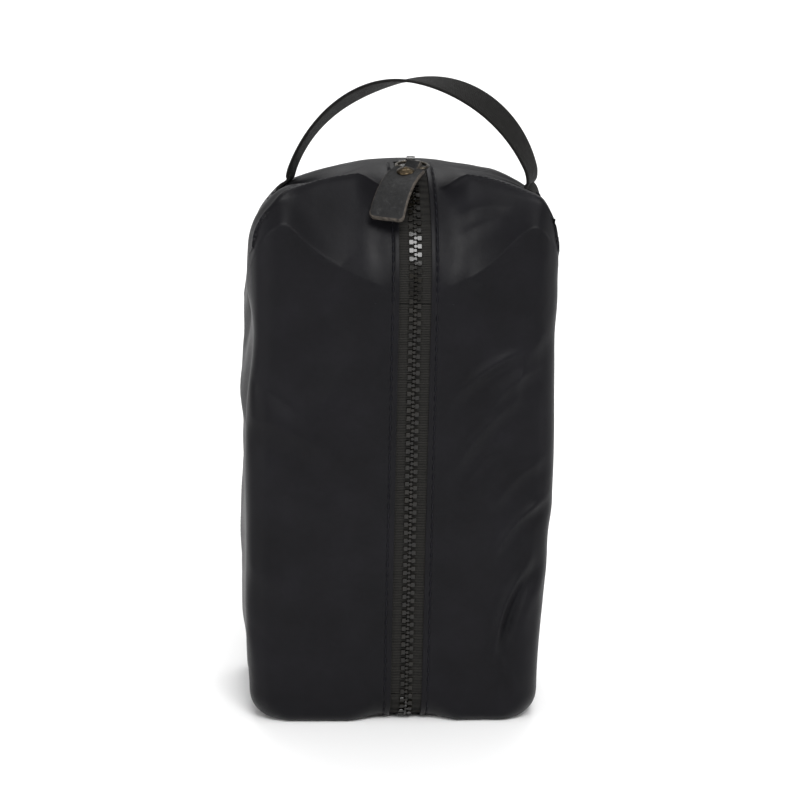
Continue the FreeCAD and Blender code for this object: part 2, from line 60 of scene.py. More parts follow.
# The bag's main sizes, from the frame.
HEIGHT = frame_mm("outer_top_rear", 1, 2)
HALF_WIDTH = frame_mm("outer_side_right", 1, 0)
FRONT_Y = frame_mm("front_panel_left", 0, 1)
REAR_Y = frame_mm("outer_back_panel", 1, 1)
DOOR_LOW = frame_mm("front_panel_left", 0, 2)
DOOR_HIGH = frame_mm("front_panel_left", 1, 2)
DOOR_HINGE_X = 74.0
ZIP_GAP = 9.5
BASE_RADIUS = 18.0
TIGHT_FOOT_RADIUS = 7.0
FOOT_RADIUS = 16.0
EDGE_RADIUS = 14.0
ZIP_BEND_RADIUS = 75.0
CREST_Y = FRONT_Y + ZIP_BEND_RADIUS
REAR_RADIUS = REAR_Y - CREST_Y
SHOULDER_RADIUS = 35.0
SHOULDER_X = HALF_WIDTH - SHOULDER_RADIUS
SHOULDER_Z = 282.0
BACK_TOP_Z = SHOULDER_Z - 30
CROWN_RADIUS = 183.05
CROWN_END_X = 69.2
TOP_SEAM_Y = 4.0
STITCH_X = 12.8

# Depths below the outer surface of the layers of cloth.
TAPE_DEPTH = 1.1
LINING_DEPTH = 2.4
BINDING_DEPTH = 3.2


def smooth(values, low, high):
    """0 below low, 1 above high and an even curve between."""
    t = np.clip((np.asarray(values, float) - low) / (high - low), 0, 1)
    return t * t * (3 - 2 * t)


def between(values, low, high, high_end, low_end):
    """0 at both ends and 1 in the middle, rising from low to high and falling after high_end."""
    return smooth(values, low, high) * (1 - smooth(values, high_end, low_end))


# ---- the shape of the bag

def top_height(x):
    """How high the bag's top is at a distance x from the middle."""
    x = np.abs(x)
    crown = HEIGHT - CROWN_RADIUS + np.sqrt(CROWN_RADIUS**2 - np.minimum(x, 150) ** 2)
    beyond = np.clip(x - SHOULDER_X, 0, SHOULDER_RADIUS)
    shoulder = SHOULDER_Z + np.sqrt(SHOULDER_RADIUS**2 - beyond**2)
    return np.where(x < CROWN_END_X, crown, np.minimum(shoulder, crown))


def front_head_z(x):
    """Where the upright front starts to slope back: ever higher towards the corners."""
    return 262 + 44 * np.clip(np.abs(x) / 78, 0, 1) ** 2.2


def ridge_y(x):
    """Where the sloping front meets the flat top, in a crease that runs forwards to each corner."""
    return -20 - 0.36 * np.abs(x)


def line(start, end, count):
    """Points from start to end, with end left out."""
    steps = np.arange(count) / count
    return start + (end - start) * steps


def bend_curve(low, corner, high, share):
    """A curve from low to high, drawn towards the corner between them."""
    w0, w1, w2 = (1 - share) ** 2, 2 * share * (1 - share), share**2
    return low * w0 + corner * w1 + high * w2


ROWS = {"base_front": 26, "foot_front": 16, "front": 170, "top_front": 110}
ROWS.update({"top_rear": 60, "back": 130, "foot_rear": 14, "base_rear": 30})


def row_range(name):
    """The first row of a run of the loop, and the first one after it."""
    names = list(ROWS)
    start = sum(ROWS[n] for n in names[: names.index(name)])
    return start, start + ROWS[name]


def upright(y, z):
    """Points in the YZ plane from arrays or single numbers."""
    return np.stack(np.broadcast_arrays(y, z), 1)


def side_loop(x):
    """The closed outline of the bag in the YZ plane at x, from the base seam forwards and up."""
    top = float(top_height(x))
    tight = float(between(abs(x), 14, 34, 66, 86))
    front_foot = BASE_RADIUS * (1 - tight) + TIGHT_FOOT_RADIUS * tight
    turn = np.linspace(0, math.pi / 2, ROWS["foot_rear"], endpoint=False)
    foot_y = REAR_Y - BASE_RADIUS + BASE_RADIUS * np.cos(turn)
    runs = [
        upright(line(0.0, FRONT_Y + BASE_RADIUS, ROWS["base_front"]), 0.0),
        front_foot_run(front_foot),
        upright(FRONT_Y, line(DOOR_LOW, DOOR_HIGH, ROWS["front"])),
        front_top_run(top, x),
        rear_top_run(top),
        upright(REAR_Y, line(BACK_TOP_Z, BASE_RADIUS, ROWS["back"])),
        upright(foot_y, BASE_RADIUS - BASE_RADIUS * np.sin(turn)),
        upright(line(REAR_Y - BASE_RADIUS, 0.0, ROWS["base_rear"]), 0.0),
    ]
    return np.concatenate(runs)


def respace(points, count):
    """The same line with count points at even distances, the last one left out."""
    steps = np.linalg.norm(np.diff(points, axis=0), axis=1)
    along = np.concatenate([[0], np.cumsum(steps)])
    wanted = line(0.0, along[-1], count)
    return np.stack([np.interp(wanted, along, points[:, i]) for i in range(points.shape[1])], 1)


def front_foot_run(radius):
    """From the base round the bottom bend and up to where the doors start."""
    angle = np.linspace(0, math.pi / 2, 24)
    arc = upright(FRONT_Y + radius - radius * np.sin(angle), radius - radius * np.cos(angle))
    start = np.array([[FRONT_Y + BASE_RADIUS, 0.0]])
    end = np.array([[FRONT_Y, DOOR_LOW]])
    return respace(np.concatenate([start, arc, end]), ROWS["foot_front"])


def front_top_run(top, x):
    """From the head of the front to the crest: round at the zip, and creased away from it."""
    angle = np.linspace(0, math.pi / 2, 60)[:, None]
    centre = np.array([CREST_Y, top - ZIP_BEND_RADIUS])
    arc = centre + ZIP_BEND_RADIUS * np.concatenate([-np.cos(angle), np.sin(angle)], 1)
    head = np.array([[FRONT_Y, DOOR_HIGH]])
    crest = np.array([[CREST_Y, top]])
    highest = top - 12
    room = highest - float(front_head_z(x))
    low = np.array([FRONT_Y, highest - 0.5 * (room + math.hypot(room, 7))])
    ridge = np.array([float(ridge_y(x)), top - 2.2 + 2.6 * float(smooth(abs(x), 20, 60))])
    share = np.linspace(0, 1, 40)[:, None]
    corner = (low + ridge) / 2 + 0.03 * np.array([low[0] - ridge[0], ridge[1] - low[1]])
    slope = bend_curve(low, corner, ridge, share)
    dip = (ridge + crest[0]) / 2 - np.array([0, 1.5])
    flat_top = bend_curve(ridge, dip, crest[0], share)
    creased = np.concatenate([head, slope, flat_top])
    weight = float(smooth(abs(x), 13, 33))
    count = ROWS["top_front"]
    rounded = respace(np.concatenate([head, arc, crest]), count)
    return rounded * (1 - weight) + respace(creased, count) * weight


def rear_top_run(top):
    """From the crest round the rear bend and down to the back."""
    radius = REAR_RADIUS * 0.62 + 0.38 * min(REAR_RADIUS, top - SHOULDER_Z)
    angle = np.linspace(math.pi / 2, 0, 50)[:, None]
    centre = np.array([REAR_Y - radius, top - radius])
    arc = centre + radius * np.concatenate([np.cos(angle), np.sin(angle)], 1)
    crest = np.array([[CREST_Y, top]])
    foot = np.array([[REAR_Y, BACK_TOP_Z]])
    return respace(np.concatenate([crest, arc, foot]), ROWS["top_rear"])


def column_places():
    """The distances of the grid's columns from the middle, and how far each has turned to the side."""
    flat_end = HALF_WIDTH - EDGE_RADIUS
    near = np.arange(0, ZIP_GAP, 1.9)
    fold = np.arange(ZIP_GAP, 16.0, 0.5)
    wide = np.linspace(16.0, flat_end, 40)
    turned = np.radians(np.linspace(0, 90, 15))[1:]
    x = np.concatenate([near, fold, wide, flat_end + EDGE_RADIUS * np.sin(turned)])
    turn = np.concatenate([np.zeros(len(near) + len(fold) + len(wide)), turned])
    x = np.concatenate([-x[:0:-1], x])
    turn = np.concatenate([turn[:0:-1], turn])
    return x, turn


COLUMN_X, COLUMN_TURN = column_places()
MIDDLE = len(COLUMN_X) // 2


def column_at(x):
    """The grid column nearest to a place across the bag."""
    return int(np.argmin(np.abs(COLUMN_X - x)))


def plain_grid():
    """The bag's surface before it settles: rows round the loop by columns across."""
    loops = np.stack([side_loop(x) for x in COLUMN_X], 1)
    along = np.roll(loops, -1, 0) - np.roll(loops, 1, 0)
    along /= np.linalg.norm(along, axis=2, keepdims=True) + 1e-9
    out_y, out_z = -along[:, :, 1], along[:, :, 0]
    inset = EDGE_RADIUS * (1 - np.cos(COLUMN_TURN))[None, :]
    foot = inset * FOOT_RADIUS / EDGE_RADIUS
    y = loops[:, :, 0] - out_y * inset
    z = loops[:, :, 1] - np.minimum(out_z, 0) * foot
    x = np.broadcast_to(COLUMN_X[None, :], y.shape)
    return np.stack([x, y, z], 2)


def cap_grid(ring, steps=22):
    """A side panel inside one ring of the surface, closing in on an upright line at its middle."""
    spine = ring.copy()
    spine[:, 1] = 1.0
    spine[:, 2] = np.clip(ring[:, 2], 70, 240)
    share = np.linspace(0, 1, steps)[:, None, None]
    return ring[None] * (1 - share) + spine[None] * share


def grid_normals(grid):
    """Unit outward normals of a grid whose rows close into a loop."""
    along = np.roll(grid, -1, 0) - np.roll(grid, 1, 0)
    across = np.gradient(grid, axis=1)
    normals = np.cross(across, along)
    return normals / (np.linalg.norm(normals, axis=2, keepdims=True) + 1e-9)


# Soft folds on the front: start x and z, end x and z, half width and height, in millimetres.
FRONT_FOLDS = [
    (20, 194, 68, 224, 4.0, 2.6), (50, 192, 78, 214, 4.0, 1.7),
    (64, 193, 84, 236, 4.5, 1.6), (22, 150, 66, 196, 4.0, 2.4),
    (34, 146, 56, 168, 6.0, -1.6), (54, 134, 82, 160, 4.0, 1.5),
    (56, 105, 84, 136, 3.5, 2.6), (58, 43, 78, 98, 4.0, 3.2),
    (66, 50, 84, 92, 4.0, -2.0), (62, 40, 76, 20, 4.0, 1.6),
    (20, 284, 50, 300, 4.0, 0.5), (28, 302, 54, 306, 3.5, 0.8),
    (22, 268, 40, 264, 4.0, 0.5), (-36, 232, -52, 186, 8.0, -1.5),
    (-92, 186, -52, 168, 7.0, 1.5), (-90, 206, -60, 186, 6.0, -1.2),
    (-92, 98, -58, 70, 9.0, 1.3), (-90, 60, -66, 34, 8.0, -1.1),
    (-70, 140, -40, 120, 12.0, 1.2),
]
# Soft folds on the top: start x and y, end x and y, half width and height.
TOP_FOLDS = [
    (38, -22, 88, -34, 5.0, -4.2), (30, -4, 76, -14, 5.0, 1.6),
    (24, 6, 80, 8, 4.0, 1.1), (-28, -2, -80, -16, 7.0, -1.8),
    (-24, 8, -80, 10, 4.0, 1.0), (20, 22, 60, 30, 6.0, -1.4),
    (-20, 26, -66, 34, 7.0, -1.6),
]
# Soft folds on the back and sides: start and end on the panel, half width and height.
BACK_FOLDS = [
    (-70, 210, -10, 170, 11.0, 2.0), (72, 230, 20, 150, 10.0, -2.0),
    (-60, 90, 50, 120, 14.0, 2.0), (76, 70, 30, 40, 8.0, 1.6),
    (-78, 50, -40, 20, 7.0, 1.4), (-20, 260, 40, 280, 9.0, -1.5),
]
SIDE_FOLDS = [
    (-40, 250, 20, 180, 9.0, 2.2), (44, 230, 0, 130, 10.0, -2.4),
    (-44, 130, 10, 90, 9.0, 2.0), (40, 60, -20, 30, 8.0, -1.6),
    (0, 300, 4, 230, 10.0, -2.6),
]


def fold_height(places, folds):
    """The sum of soft folds at places on a panel, each with a ridge and a shallower trough beside it."""
    total = np.zeros(places.shape[:-1])
    for *ends, width, height in folds:
        start, end = np.array(ends, float).reshape(2, 2)
        reach = end - start
        length = np.linalg.norm(reach)
        along = ((places - start) @ reach) / length**2
        side = np.array([-reach[1], reach[0]]) / length
        sway = 0.06 * length * np.sin(math.pi * np.clip(along, 0, 1))
        away = (places - start) @ side - sway
        fade = between(along, -0.25, 0.3, 0.7, 1.25)
        ridge = np.exp(-np.abs(away / width) ** 1.4)
        trough = np.exp(-(((away + 1.6 * width) / (1.3 * width)) ** 2))
        total += height * fade * (ridge - 0.55 * trough)
    return total


def noise_field(points, size, seed):
    """Smooth noise from about -1 to 1 at each point, with features of that size."""
    flat = points.reshape(-1, 3) / size + seed
    values = [noise.noise(Vector(p)) for p in flat.tolist()]
    return np.array(values).reshape(points.shape[:-1])


def leaning_x(x, y, z):
    """Where the bag's lean and its drawn-in sides take a place across it."""
    lean = 4.0 * smooth(np.abs(x), 15, 75)
    right_foot = 0.088 * x * (1 - smooth(z, 15, 235)) * smooth(x, 12, 80)
    left_foot = 3.0 * (1 - smooth(z, 10, 75)) * smooth(-x, 25, 85)
    right_top = 5.5 * between(z, 140, 245, 285, 318) * smooth(x, 25, 85)
    left_waist = 3.0 * between(z, 190, 235, 262, 298) * smooth(-x, 25, 85)
    rear = 0.55 + 0.45 * smooth(y, -45, -15)
    left_shoulder = 8.5 * smooth(z, 255, 306) * smooth(-x, 45, 88) * rear
    drawn_right = lean + right_foot + right_top
    drawn_left = left_foot + left_waist + left_shoulder
    return x - drawn_right + drawn_left


def front_shoulder(x, z):
    """1 where the cloth stands up in front of the handle's left end, and 0 elsewhere."""
    return smooth(-x, 56, 74) * smooth(z, 236, 262)


def settle(points, normals):
    """The points moved to where the cloth of a filled, standing bag hangs."""
    x, y, z = points[..., 0], points[..., 1], points[..., 2]
    away = smooth(np.abs(x), 15, 40)
    new_x = leaning_x(x, y, z)
    faces_front = smooth(-normals[..., 1], 0.35, 0.85)
    faces_back = smooth(normals[..., 1], 0.35, 0.85)
    faces_up = smooth(normals[..., 2], 0.35, 0.85)
    faces_side = smooth(np.abs(normals[..., 0]), 0.4, 0.85)
    height = faces_front * fold_height(np.stack([x, z], -1), FRONT_FOLDS)
    height += faces_up * fold_height(np.stack([x, y], -1), TOP_FOLDS)
    height += faces_back * fold_height(np.stack([x, z], -1), BACK_FOLDS)
    side_places = np.stack([y * np.sign(x), z], -1)
    height += faces_side * fold_height(side_places, SIDE_FOLDS)
    stretch = points * np.array([1.0, 1.0, 0.55])
    broad = noise_field(stretch, 46.0, 3.7)
    small = noise_field(stretch, 15.0, 11.2)
    height += 1.7 * broad + 0.3 * small * smooth(broad, -0.3, 0.4)
    crumple = (1 - 2 * np.abs(noise_field(stretch, 24.0, 7.9))) * smooth(broad, -0.1, 0.5)
    height += 0.55 * crumple
    crease = np.exp(-np.abs((y - ridge_y(x)) / 1.4) ** 1.5) * smooth(normals[..., 2], 0.2, 0.6)
    height += 2.0 * (faces_back + 0.6 * faces_side) * np.sin(math.pi * np.clip(z / HEIGHT, 0, 1))
    height *= away * (0.35 + 0.65 * smooth(z, 0, 14))
    height += 1.3 * crease * between(np.abs(x), 14, 22, 72, 84)
    height += hem_height(points, normals)
    height += 3.4 * between(-y, 12.5, 19, 36, 52) * front_shoulder(x, z)
    moved = np.stack([new_x, y, z], -1) + normals * height[..., None]
    moved[..., 2] = np.clip(moved[..., 2], 0.0, None)
    return moved


def hem_height(points, normals):
    """The turned cloth beside the zip: a thicker hem, drawn in along its row of stitches."""
    x = np.abs(points[..., 0])
    in_front = (points[..., 1] < TOP_SEAM_Y) & (np.abs(normals[..., 0]) < 0.5)
    hem = 0.35 * (1 - smooth(x, 13.2, 14.6))
    drawn_in = 0.8 * np.exp(-(((x - STITCH_X) / 0.7) ** 2))
    return np.where(in_front, hem - drawn_in, 0.0)


base_grid = plain_grid()
base_normals = grid_normals(base_grid)
skin = settle(base_grid, base_normals)
skin_normals = grid_normals(skin)


# ---- meshes

def add_mesh(name, points, faces, material, uvs=None, smooth_faces=True, normals=None):
    """A mesh object from points in millimetres. A UV place for each point is in metres of cloth."""
    mesh = bpy.data.meshes.new(name)
    mesh.from_pydata((np.asarray(points, float) * MM).tolist(), [], faces)
    mesh.validate()
    if uvs is not None:
        layer = mesh.uv_layers.new(name="cloth")
        corner = np.zeros(len(mesh.loops), int)
        mesh.loops.foreach_get("vertex_index", corner)
        layer.data.foreach_set("uv", np.asarray(uvs, np.float32)[corner].ravel())
    mesh.polygons.foreach_set("use_smooth", [smooth_faces] * len(mesh.polygons))
    mesh.materials.append(material)
    mesh.update()
    if normals is not None:
        mesh.normals_split_custom_set_from_vertices(normals)
    piece = bpy.data.objects.new(name, mesh)
    bpy.context.scene.collection.objects.link(piece)
    return piece


def quad_faces(rows, columns, first=0):
    """Faces of a grid of points kept row by row."""
    faces = []
    for r in range(rows - 1):
        for c in range(columns - 1):
            a = first + r * columns + c
            b = a + columns
            faces.append((a, a + 1, b + 1, b))
    return faces


def ring_faces(rings, count):
    """Faces between rings of count points, kept ring by ring."""
    faces = []
    for ring in range(rings - 1):
        for i in range(count):
            a, b = ring * count + i, ring * count + (i + 1) % count
            faces.append((a, b, b + count, a + count))
    return faces


class Parts:
    """Collects grids and solids that go into one mesh."""

    def __init__(self):
        self.points, self.faces, self.uvs, self.normals = [], [], [], []

    def grid(self, points, uvs=None, normals=None):
        """Adds a grid. Where its normals are zero or left out, they follow from its faces."""
        rows, columns = points.shape[:2]
        self.faces += quad_faces(rows, columns, len(self.points))
        self.points += points.reshape(-1, 3).tolist()
        if uvs is None:
            uvs = cloth_uvs(points)
        self.uvs += uvs.reshape(-1, 2).tolist()
        if normals is None:
            normals = np.zeros(points.shape)
        self.normals += normals.reshape(-1, 3).tolist()

    def solid(self, points, faces):
        first = len(self.points)
        self.points += [list(p) for p in points]
        self.faces += [tuple(first + i for i in face) for face in faces]
        self.uvs += [[p[0] * MM, p[2] * MM] for p in points]
        self.normals += [[0.0, 0.0, 0.0]] * len(points)

    def mesh(self, name, material, smooth_faces=True):
        """The mesh of everything collected."""
        known = self.normals if np.any(self.normals) else None
        return add_mesh(name, self.points, self.faces, material, self.uvs, smooth_faces, known)

    def make(self, name, material, slot, *nodes, smooth_faces=True):
        """The mesh as a piece with its material, in place of these CAD nodes. The slot name is not used.
        """
        piece = self.mesh(name, material, smooth_faces)
        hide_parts(*nodes)
        return piece


def cloth_uvs(points):
    """Distances along and across a grid of cloth, in metres."""
    down = np.linalg.norm(np.diff(points, axis=0), axis=2).mean(1)
    over = np.linalg.norm(np.diff(points, axis=1), axis=2).mean(0)
    v = np.concatenate([[0], np.cumsum(down)])
    u = np.concatenate([[0], np.cumsum(over)]) + abs(points[0, 0, 0])
    return np.stack(np.meshgrid(u * MM, v * MM), -1)


def loop_rows(rows):
    """A range of rows, wrapping round the loop."""
    return np.arange(*rows) % skin.shape[0]


def take(rows, columns, depth=0.0):
    """Part of the settled surface at a depth under it."""
    chosen = np.ix_(loop_rows(rows), np.arange(*columns))
    return skin[chosen] - skin_normals[chosen] * depth


def rolled_edge(columns_of_points, normals, side):
    """The hem's folded edge: the cloth turns down and back under itself."""
    steps = [(0.25, 0.2), (0.3, 0.55), (0.0, 0.95), (-1.2, 1.0)]
    rolled = []
    for towards_zip, depth in steps:
        shift = np.array([-side * towards_zip, 0, 0])
        rolled.append(columns_of_points + shift - normals * depth)
    return np.stack(rolled, 1)


def panel(parts, rows, columns, edge_side=None, depth=0.0):
    """Adds a panel of the surface, with a rolled edge on the side towards the zip if it has one."""
    points = take(rows, columns, depth)
    normals = take(rows, columns, depth - 1) - points
    if edge_side is not None:
        edge = loop_rows(rows), columns[0] if edge_side > 0 else columns[1] - 1
        rolled = rolled_edge(skin[edge], skin_normals[edge], edge_side)
        unknown = np.zeros(rolled.shape)
        if edge_side > 0:
            points = np.concatenate([rolled[:, ::-1], points], 1)
            normals = np.concatenate([unknown, normals], 1)
        else:
            points = np.concatenate([points, rolled], 1)
            normals = np.concatenate([normals, unknown], 1)
    parts.grid(points, normals=normals)


SIDES = {"left": -1, "right": 1}
LAST = len(COLUMN_X)
ROW_DOOR_LOW = row_range("front")[0]
ROW_DOOR_HIGH = row_range("front")[1]
ROW_DOOR_MIDDLE = (ROW_DOOR_LOW + ROW_DOOR_HIGH) // 2
ROW_CREST = row_range("top_rear")[0]
ROW_TOP_SEAM = ROW_DOOR_HIGH + int(np.argmax(base_grid[ROW_DOOR_HIGH:, MIDDLE, 1] >= TOP_SEAM_Y))
ROW_END = skin.shape[0]


def half_columns(side, inner, outer):
    """Column range on one side, from the column nearest inner to the one nearest outer."""
    a, b = sorted((column_at(side * inner), column_at(side * outer)))
    return a, b + 1


# ---- materials

SPECULAR = "Specular IOR Level"


def new_material(name, plain):
    """A material with its shader's plain values set by socket. Returns it with its node helper."""
    material = bpy.data.materials.new(name)
    material.use_nodes = True
    shader = material.node_tree.nodes["Principled BSDF"]
    for socket, value in plain.items():
        shader.inputs[socket].default_value = value
    return material, Nodes(material.node_tree, shader)


class Nodes:
    """Short ways to add the texture nodes that the materials share."""

    def __init__(self, tree, shader):
        self.tree, self.shader, self.link = tree, shader, tree.links.new
        self.place = tree.nodes.new("ShaderNodeTexCoord")
        self.normal = None

    def add(self, kind, settings, coordinates=None):
        """A node with its plain values set, laid out in Object or UV places if it is a texture."""
        node = self.tree.nodes.new(f"ShaderNode{kind}")
        for socket, value in settings.items():
            node.inputs[socket].default_value = value
        if coordinates:
            self.link(self.place.outputs[coordinates], node.inputs["Vector"])
        return node

    def noise(self, scale, detail=3.0, rough=0.55):
        settings = {"Scale": scale, "Detail": detail, "Roughness": rough}
        return self.add("TexNoise", settings, "Object").outputs["Fac"]

    def wave(self, scale, direction, coordinates="UV", distortion=0.0):
        node = self.add("TexWave", {"Scale": scale, "Distortion": distortion}, coordinates)
        node.bands_direction = direction
        return node.outputs["Fac"]

    def weave(self, across, along):
        """Threads crossing at these scales."""
        node = self.add("Math", {})
        node.operation = "MULTIPLY"
        self.link(self.wave(across, "X"), node.inputs[0])
        self.link(self.wave(along, "Y"), node.inputs[1])
        return node.outputs["Value"]

    def colour(self, value, stops):
        """The colour follows a value through its stops, each a place and a colour there."""
        node = self.add("ValToRGB", {})
        elements = node.color_ramp.elements
        for element, (position, colour) in zip(elements, (stops[0], stops[-1])):
            element.position = position
            element.color = (*colour, 1)
        for position, colour in stops[1:-1]:
            elements.new(position).color = (*colour, 1)
        self.link(value, node.inputs["Fac"])
        self.link(node.outputs["Color"], self.shader.inputs["Base Color"])

    def roughness(self, scale, detail, low, high):
        """The roughness varies between two values, with noise of this scale."""
        node = self.add("MapRange", {"To Min": low, "To Max": high})
        self.link(self.noise(scale, detail), node.inputs["Value"])
        self.link(node.outputs["Result"], self.shader.inputs["Roughness"])

    def bump(self, value, strength, distance):
        """Relief from a value, laid over any relief before it."""
        node = self.add("Bump", {"Strength": strength, "Distance": distance})
        self.link(value, node.inputs["Height"])
        if self.normal is not None:
            self.link(self.normal, node.inputs["Normal"])
        self.normal = node.outputs["Normal"]
        self.link(self.normal, self.shader.inputs["Normal"])


def nylon_material():
    """Black taffeta nylon with a soft gloss, slightly uneven from handling."""
    material, nodes = new_material("black_nylon", {SPECULAR: 0.12, "Sheen Weight": 0.02})
    dark, middle, worn = (0.0026, 0.0025, 0.0034), (0.0038, 0.0036, 0.0049), (0.0056, 0.0053, 0.0072)
    nodes.colour(nodes.noise(38, 4), [(0.3, dark), (0.55, middle), (0.8, worn)])
    nodes.roughness(120, 5, 0.38, 0.52)
    nodes.bump(nodes.weave(1500, 1300), 0.12, 0.0001)
    nodes.bump(nodes.noise(260, 3), 0.16, 0.0006)
    return material


def lining_material():
    """Matt charcoal lining cloth."""
    material, nodes = new_material("charcoal_lining", {})
    nodes.colour(nodes.noise(70, 4), [(0.3, (0.022, 0.022, 0.025)), (0.75, (0.045, 0.044, 0.05))])
    nodes.roughness(200, 3, 0.7, 0.9)
    nodes.bump(nodes.weave(900, 900), 0.25, 0.0002)
    return material


def tape_material():
    """Woven zip tape, dull black, with painted highlight on the tops of its ribs as lighter bands in its
    colour.
    """
    material, nodes = new_material("zip_tape", {SPECULAR: 0.12})
    # The lighter bands in this colour are painted highlight on the rib tops, not the tape's own colour.
    stops = [(0.25, (0.0015, 0.0015, 0.0015)), (0.7, (0.022, 0.021, 0.019))]
    nodes.colour(nodes.wave(300, "Y", distortion=0.6), stops)
    nodes.roughness(300, 3, 0.6, 0.85)
    nodes.bump(nodes.wave(1400, "X"), 0.3, 0.0002)
    return material


def webbing_material():
    """Black ribbed webbing, with painted highlight on the tops of its ribs as paler bands in its colour.
    """
    material, nodes = new_material("black_webbing", {SPECULAR: 0.1})
    # The paler bands in this colour are painted highlight on the rib tops, not wear.
    stops = [(0.3, (0.003, 0.0028, 0.0027)), (0.75, (0.0095, 0.009, 0.0083))]
    nodes.colour(nodes.wave(290, "Y", distortion=1.2), stops)
    nodes.roughness(240, 4, 0.5, 0.75)
    nodes.bump(nodes.wave(800, "X", distortion=0.5), 0.35, 0.0003)
    return material


def tooth_material():
    """Moulded black plastic with a faint bronze cast and a high gloss."""
    material, nodes = new_material("moulded_teeth", {SPECULAR: 0.32})
    stops = [(0.3, (0.0026, 0.0023, 0.0019)), (0.8, (0.0085, 0.0072, 0.005))]
    nodes.colour(nodes.noise(160, 3), stops)
    nodes.roughness(500, 3, 0.12, 0.24)
    nodes.bump(nodes.noise(900, 2), 0.08, 0.0002)
    return material


def thread_material():
    """Twisted black sewing thread."""
    material, nodes = new_material("black_thread", {SPECULAR: 0.15, "Roughness": 0.55})
    nodes.colour(nodes.noise(1400, 3), [(0.3, (0.003, 0.003, 0.005)), (0.8, (0.014, 0.0135, 0.019))])
    nodes.bump(nodes.wave(1100, "DIAGONAL", "Object"), 0.5, 0.0003)
    return material


def leather_material():
    """Dark grey leather with a fine grain and scuffed pale spots."""
    material, nodes = new_material("scuffed_leather", {SPECULAR: 0.2})
    dark, grey, scuffed = (0.006, 0.006, 0.0062), (0.012, 0.012, 0.0124), (0.04, 0.0395, 0.039)
    nodes.colour(nodes.noise(330, 6, rough=0.68), [(0.35, dark), (0.58, grey), (0.75, scuffed)])
    nodes.roughness(210, 4, 0.42, 0.68)
    grain = nodes.add("TexVoronoi", {"Scale": 1500}, "Object")
    nodes.bump(grain.outputs["Distance"], 0.35, 0.0003)
    nodes.bump(nodes.noise(500, 5), 0.4, 0.0006)
    return material


def leather_edge_material():
    """The tab's cut and burnished edge."""
    material, nodes = new_material("leather_edge", {SPECULAR: 0.2, "Roughness": 0.55})
    nodes.colour(nodes.noise(420, 5), [(0.3, (0.014, 0.012, 0.01)), (0.7, (0.085, 0.072, 0.06))])
    nodes.bump(nodes.noise(800, 4), 0.5, 0.0005)
    return material


def brass_material(name, dark, light):
    """Aged brass, dulled in patches."""
    material, nodes = new_material(name, {"Metallic": 1.0})
    nodes.colour(nodes.noise(240, 5), [(0.35, dark), (0.65, light)])
    nodes.roughness(600, 4, 0.2, 0.42)
    nodes.bump(nodes.noise(1200, 3), 0.1, 0.0002)
    return material


def enamel_material():
    """Black enamel on the slider, rubbed paler in patches."""
    material, nodes = new_material("black_enamel", {"Metallic": 0.3, "Coat Weight": 0.3})
    nodes.colour(nodes.noise(420, 5), [(0.4, (0.008, 0.008, 0.008)), (0.85, (0.05, 0.045, 0.04))])
    nodes.roughness(700, 4, 0.22, 0.45)
    nodes.bump(nodes.noise(900, 3), 0.1, 0.0002)
    return material


def steel_material():
    """Plain spring steel, unevenly dulled."""
    material, nodes = new_material("spring_steel", {"Metallic": 1.0})
    nodes.roughness(900, 3, 0.25, 0.5)
    nodes.colour(nodes.noise(300, 3), [(0.3, (0.28, 0.27, 0.26)), (0.8, (0.5, 0.49, 0.47))])
    return material


NYLON = nylon_material()
LINING = lining_material()
TAPE = tape_material()
WEBBING = webbing_material()
TEETH = tooth_material()
THREAD = thread_material()
LEATHER = leather_material()
LEATHER_EDGE = leather_edge_material()
RING_BRASS = brass_material("aged_brass_ring", (0.035, 0.03, 0.023), (0.16, 0.14, 0.11))
RIVET_BRASS = brass_material("aged_brass_rivet", (0.03, 0.022, 0.013), (0.1, 0.075, 0.046))
ENAMEL = enamel_material()
STEEL = steel_material()


# ---- cloth pieces

DOOR_MID_Z = 135.0
DOOR_HALVES = {
    "lower": ((ROW_DOOR_LOW, ROW_DOOR_MIDDLE + 1), DOOR_LOW),
    "upper": ((ROW_DOOR_MIDDLE, ROW_DOOR_HIGH + 1), DOOR_HIGH),
}


def follow_door(piece):
    """The piece's placement is baked into its mesh."""
    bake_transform(piece)


def follow_run(piece, fixed_z):
    """A piece with no fixed height stays with the bag, and any other has its placement baked into its
    mesh.
    """
    if fixed_z is None:
        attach(piece, "root")
    else:
        follow_door(piece)


def fixed_panels(parts, depth=0.0):
    """Adds the surface that stays put: both sides, the rear top, the back and the rear base."""
    hinge_left, hinge_right = column_at(-DOOR_HINGE_X), column_at(DOOR_HINGE_X)
    panel(parts, (0, ROW_END + 1), (0, hinge_left + 1), depth=depth)
    panel(parts, (0, ROW_END + 1), (hinge_right, LAST), depth=depth)
    panel(parts, (ROW_TOP_SEAM, ROW_END + 1), (hinge_left, hinge_right + 1), depth=depth)


def side_cap(side):
    """The side panel before it settles, and its outward directions."""
    cap = cap_grid(base_grid[:, 0 if side < 0 else -1])
    outward = np.zeros(cap.shape)
    outward[..., 0] = side
    return cap, outward


def cap_rows(cap):
    """A side panel turned into rows round its loop, with the first row repeated at the end."""
    return np.concatenate([cap, cap[:, :1]], 1).transpose(1, 0, 2)


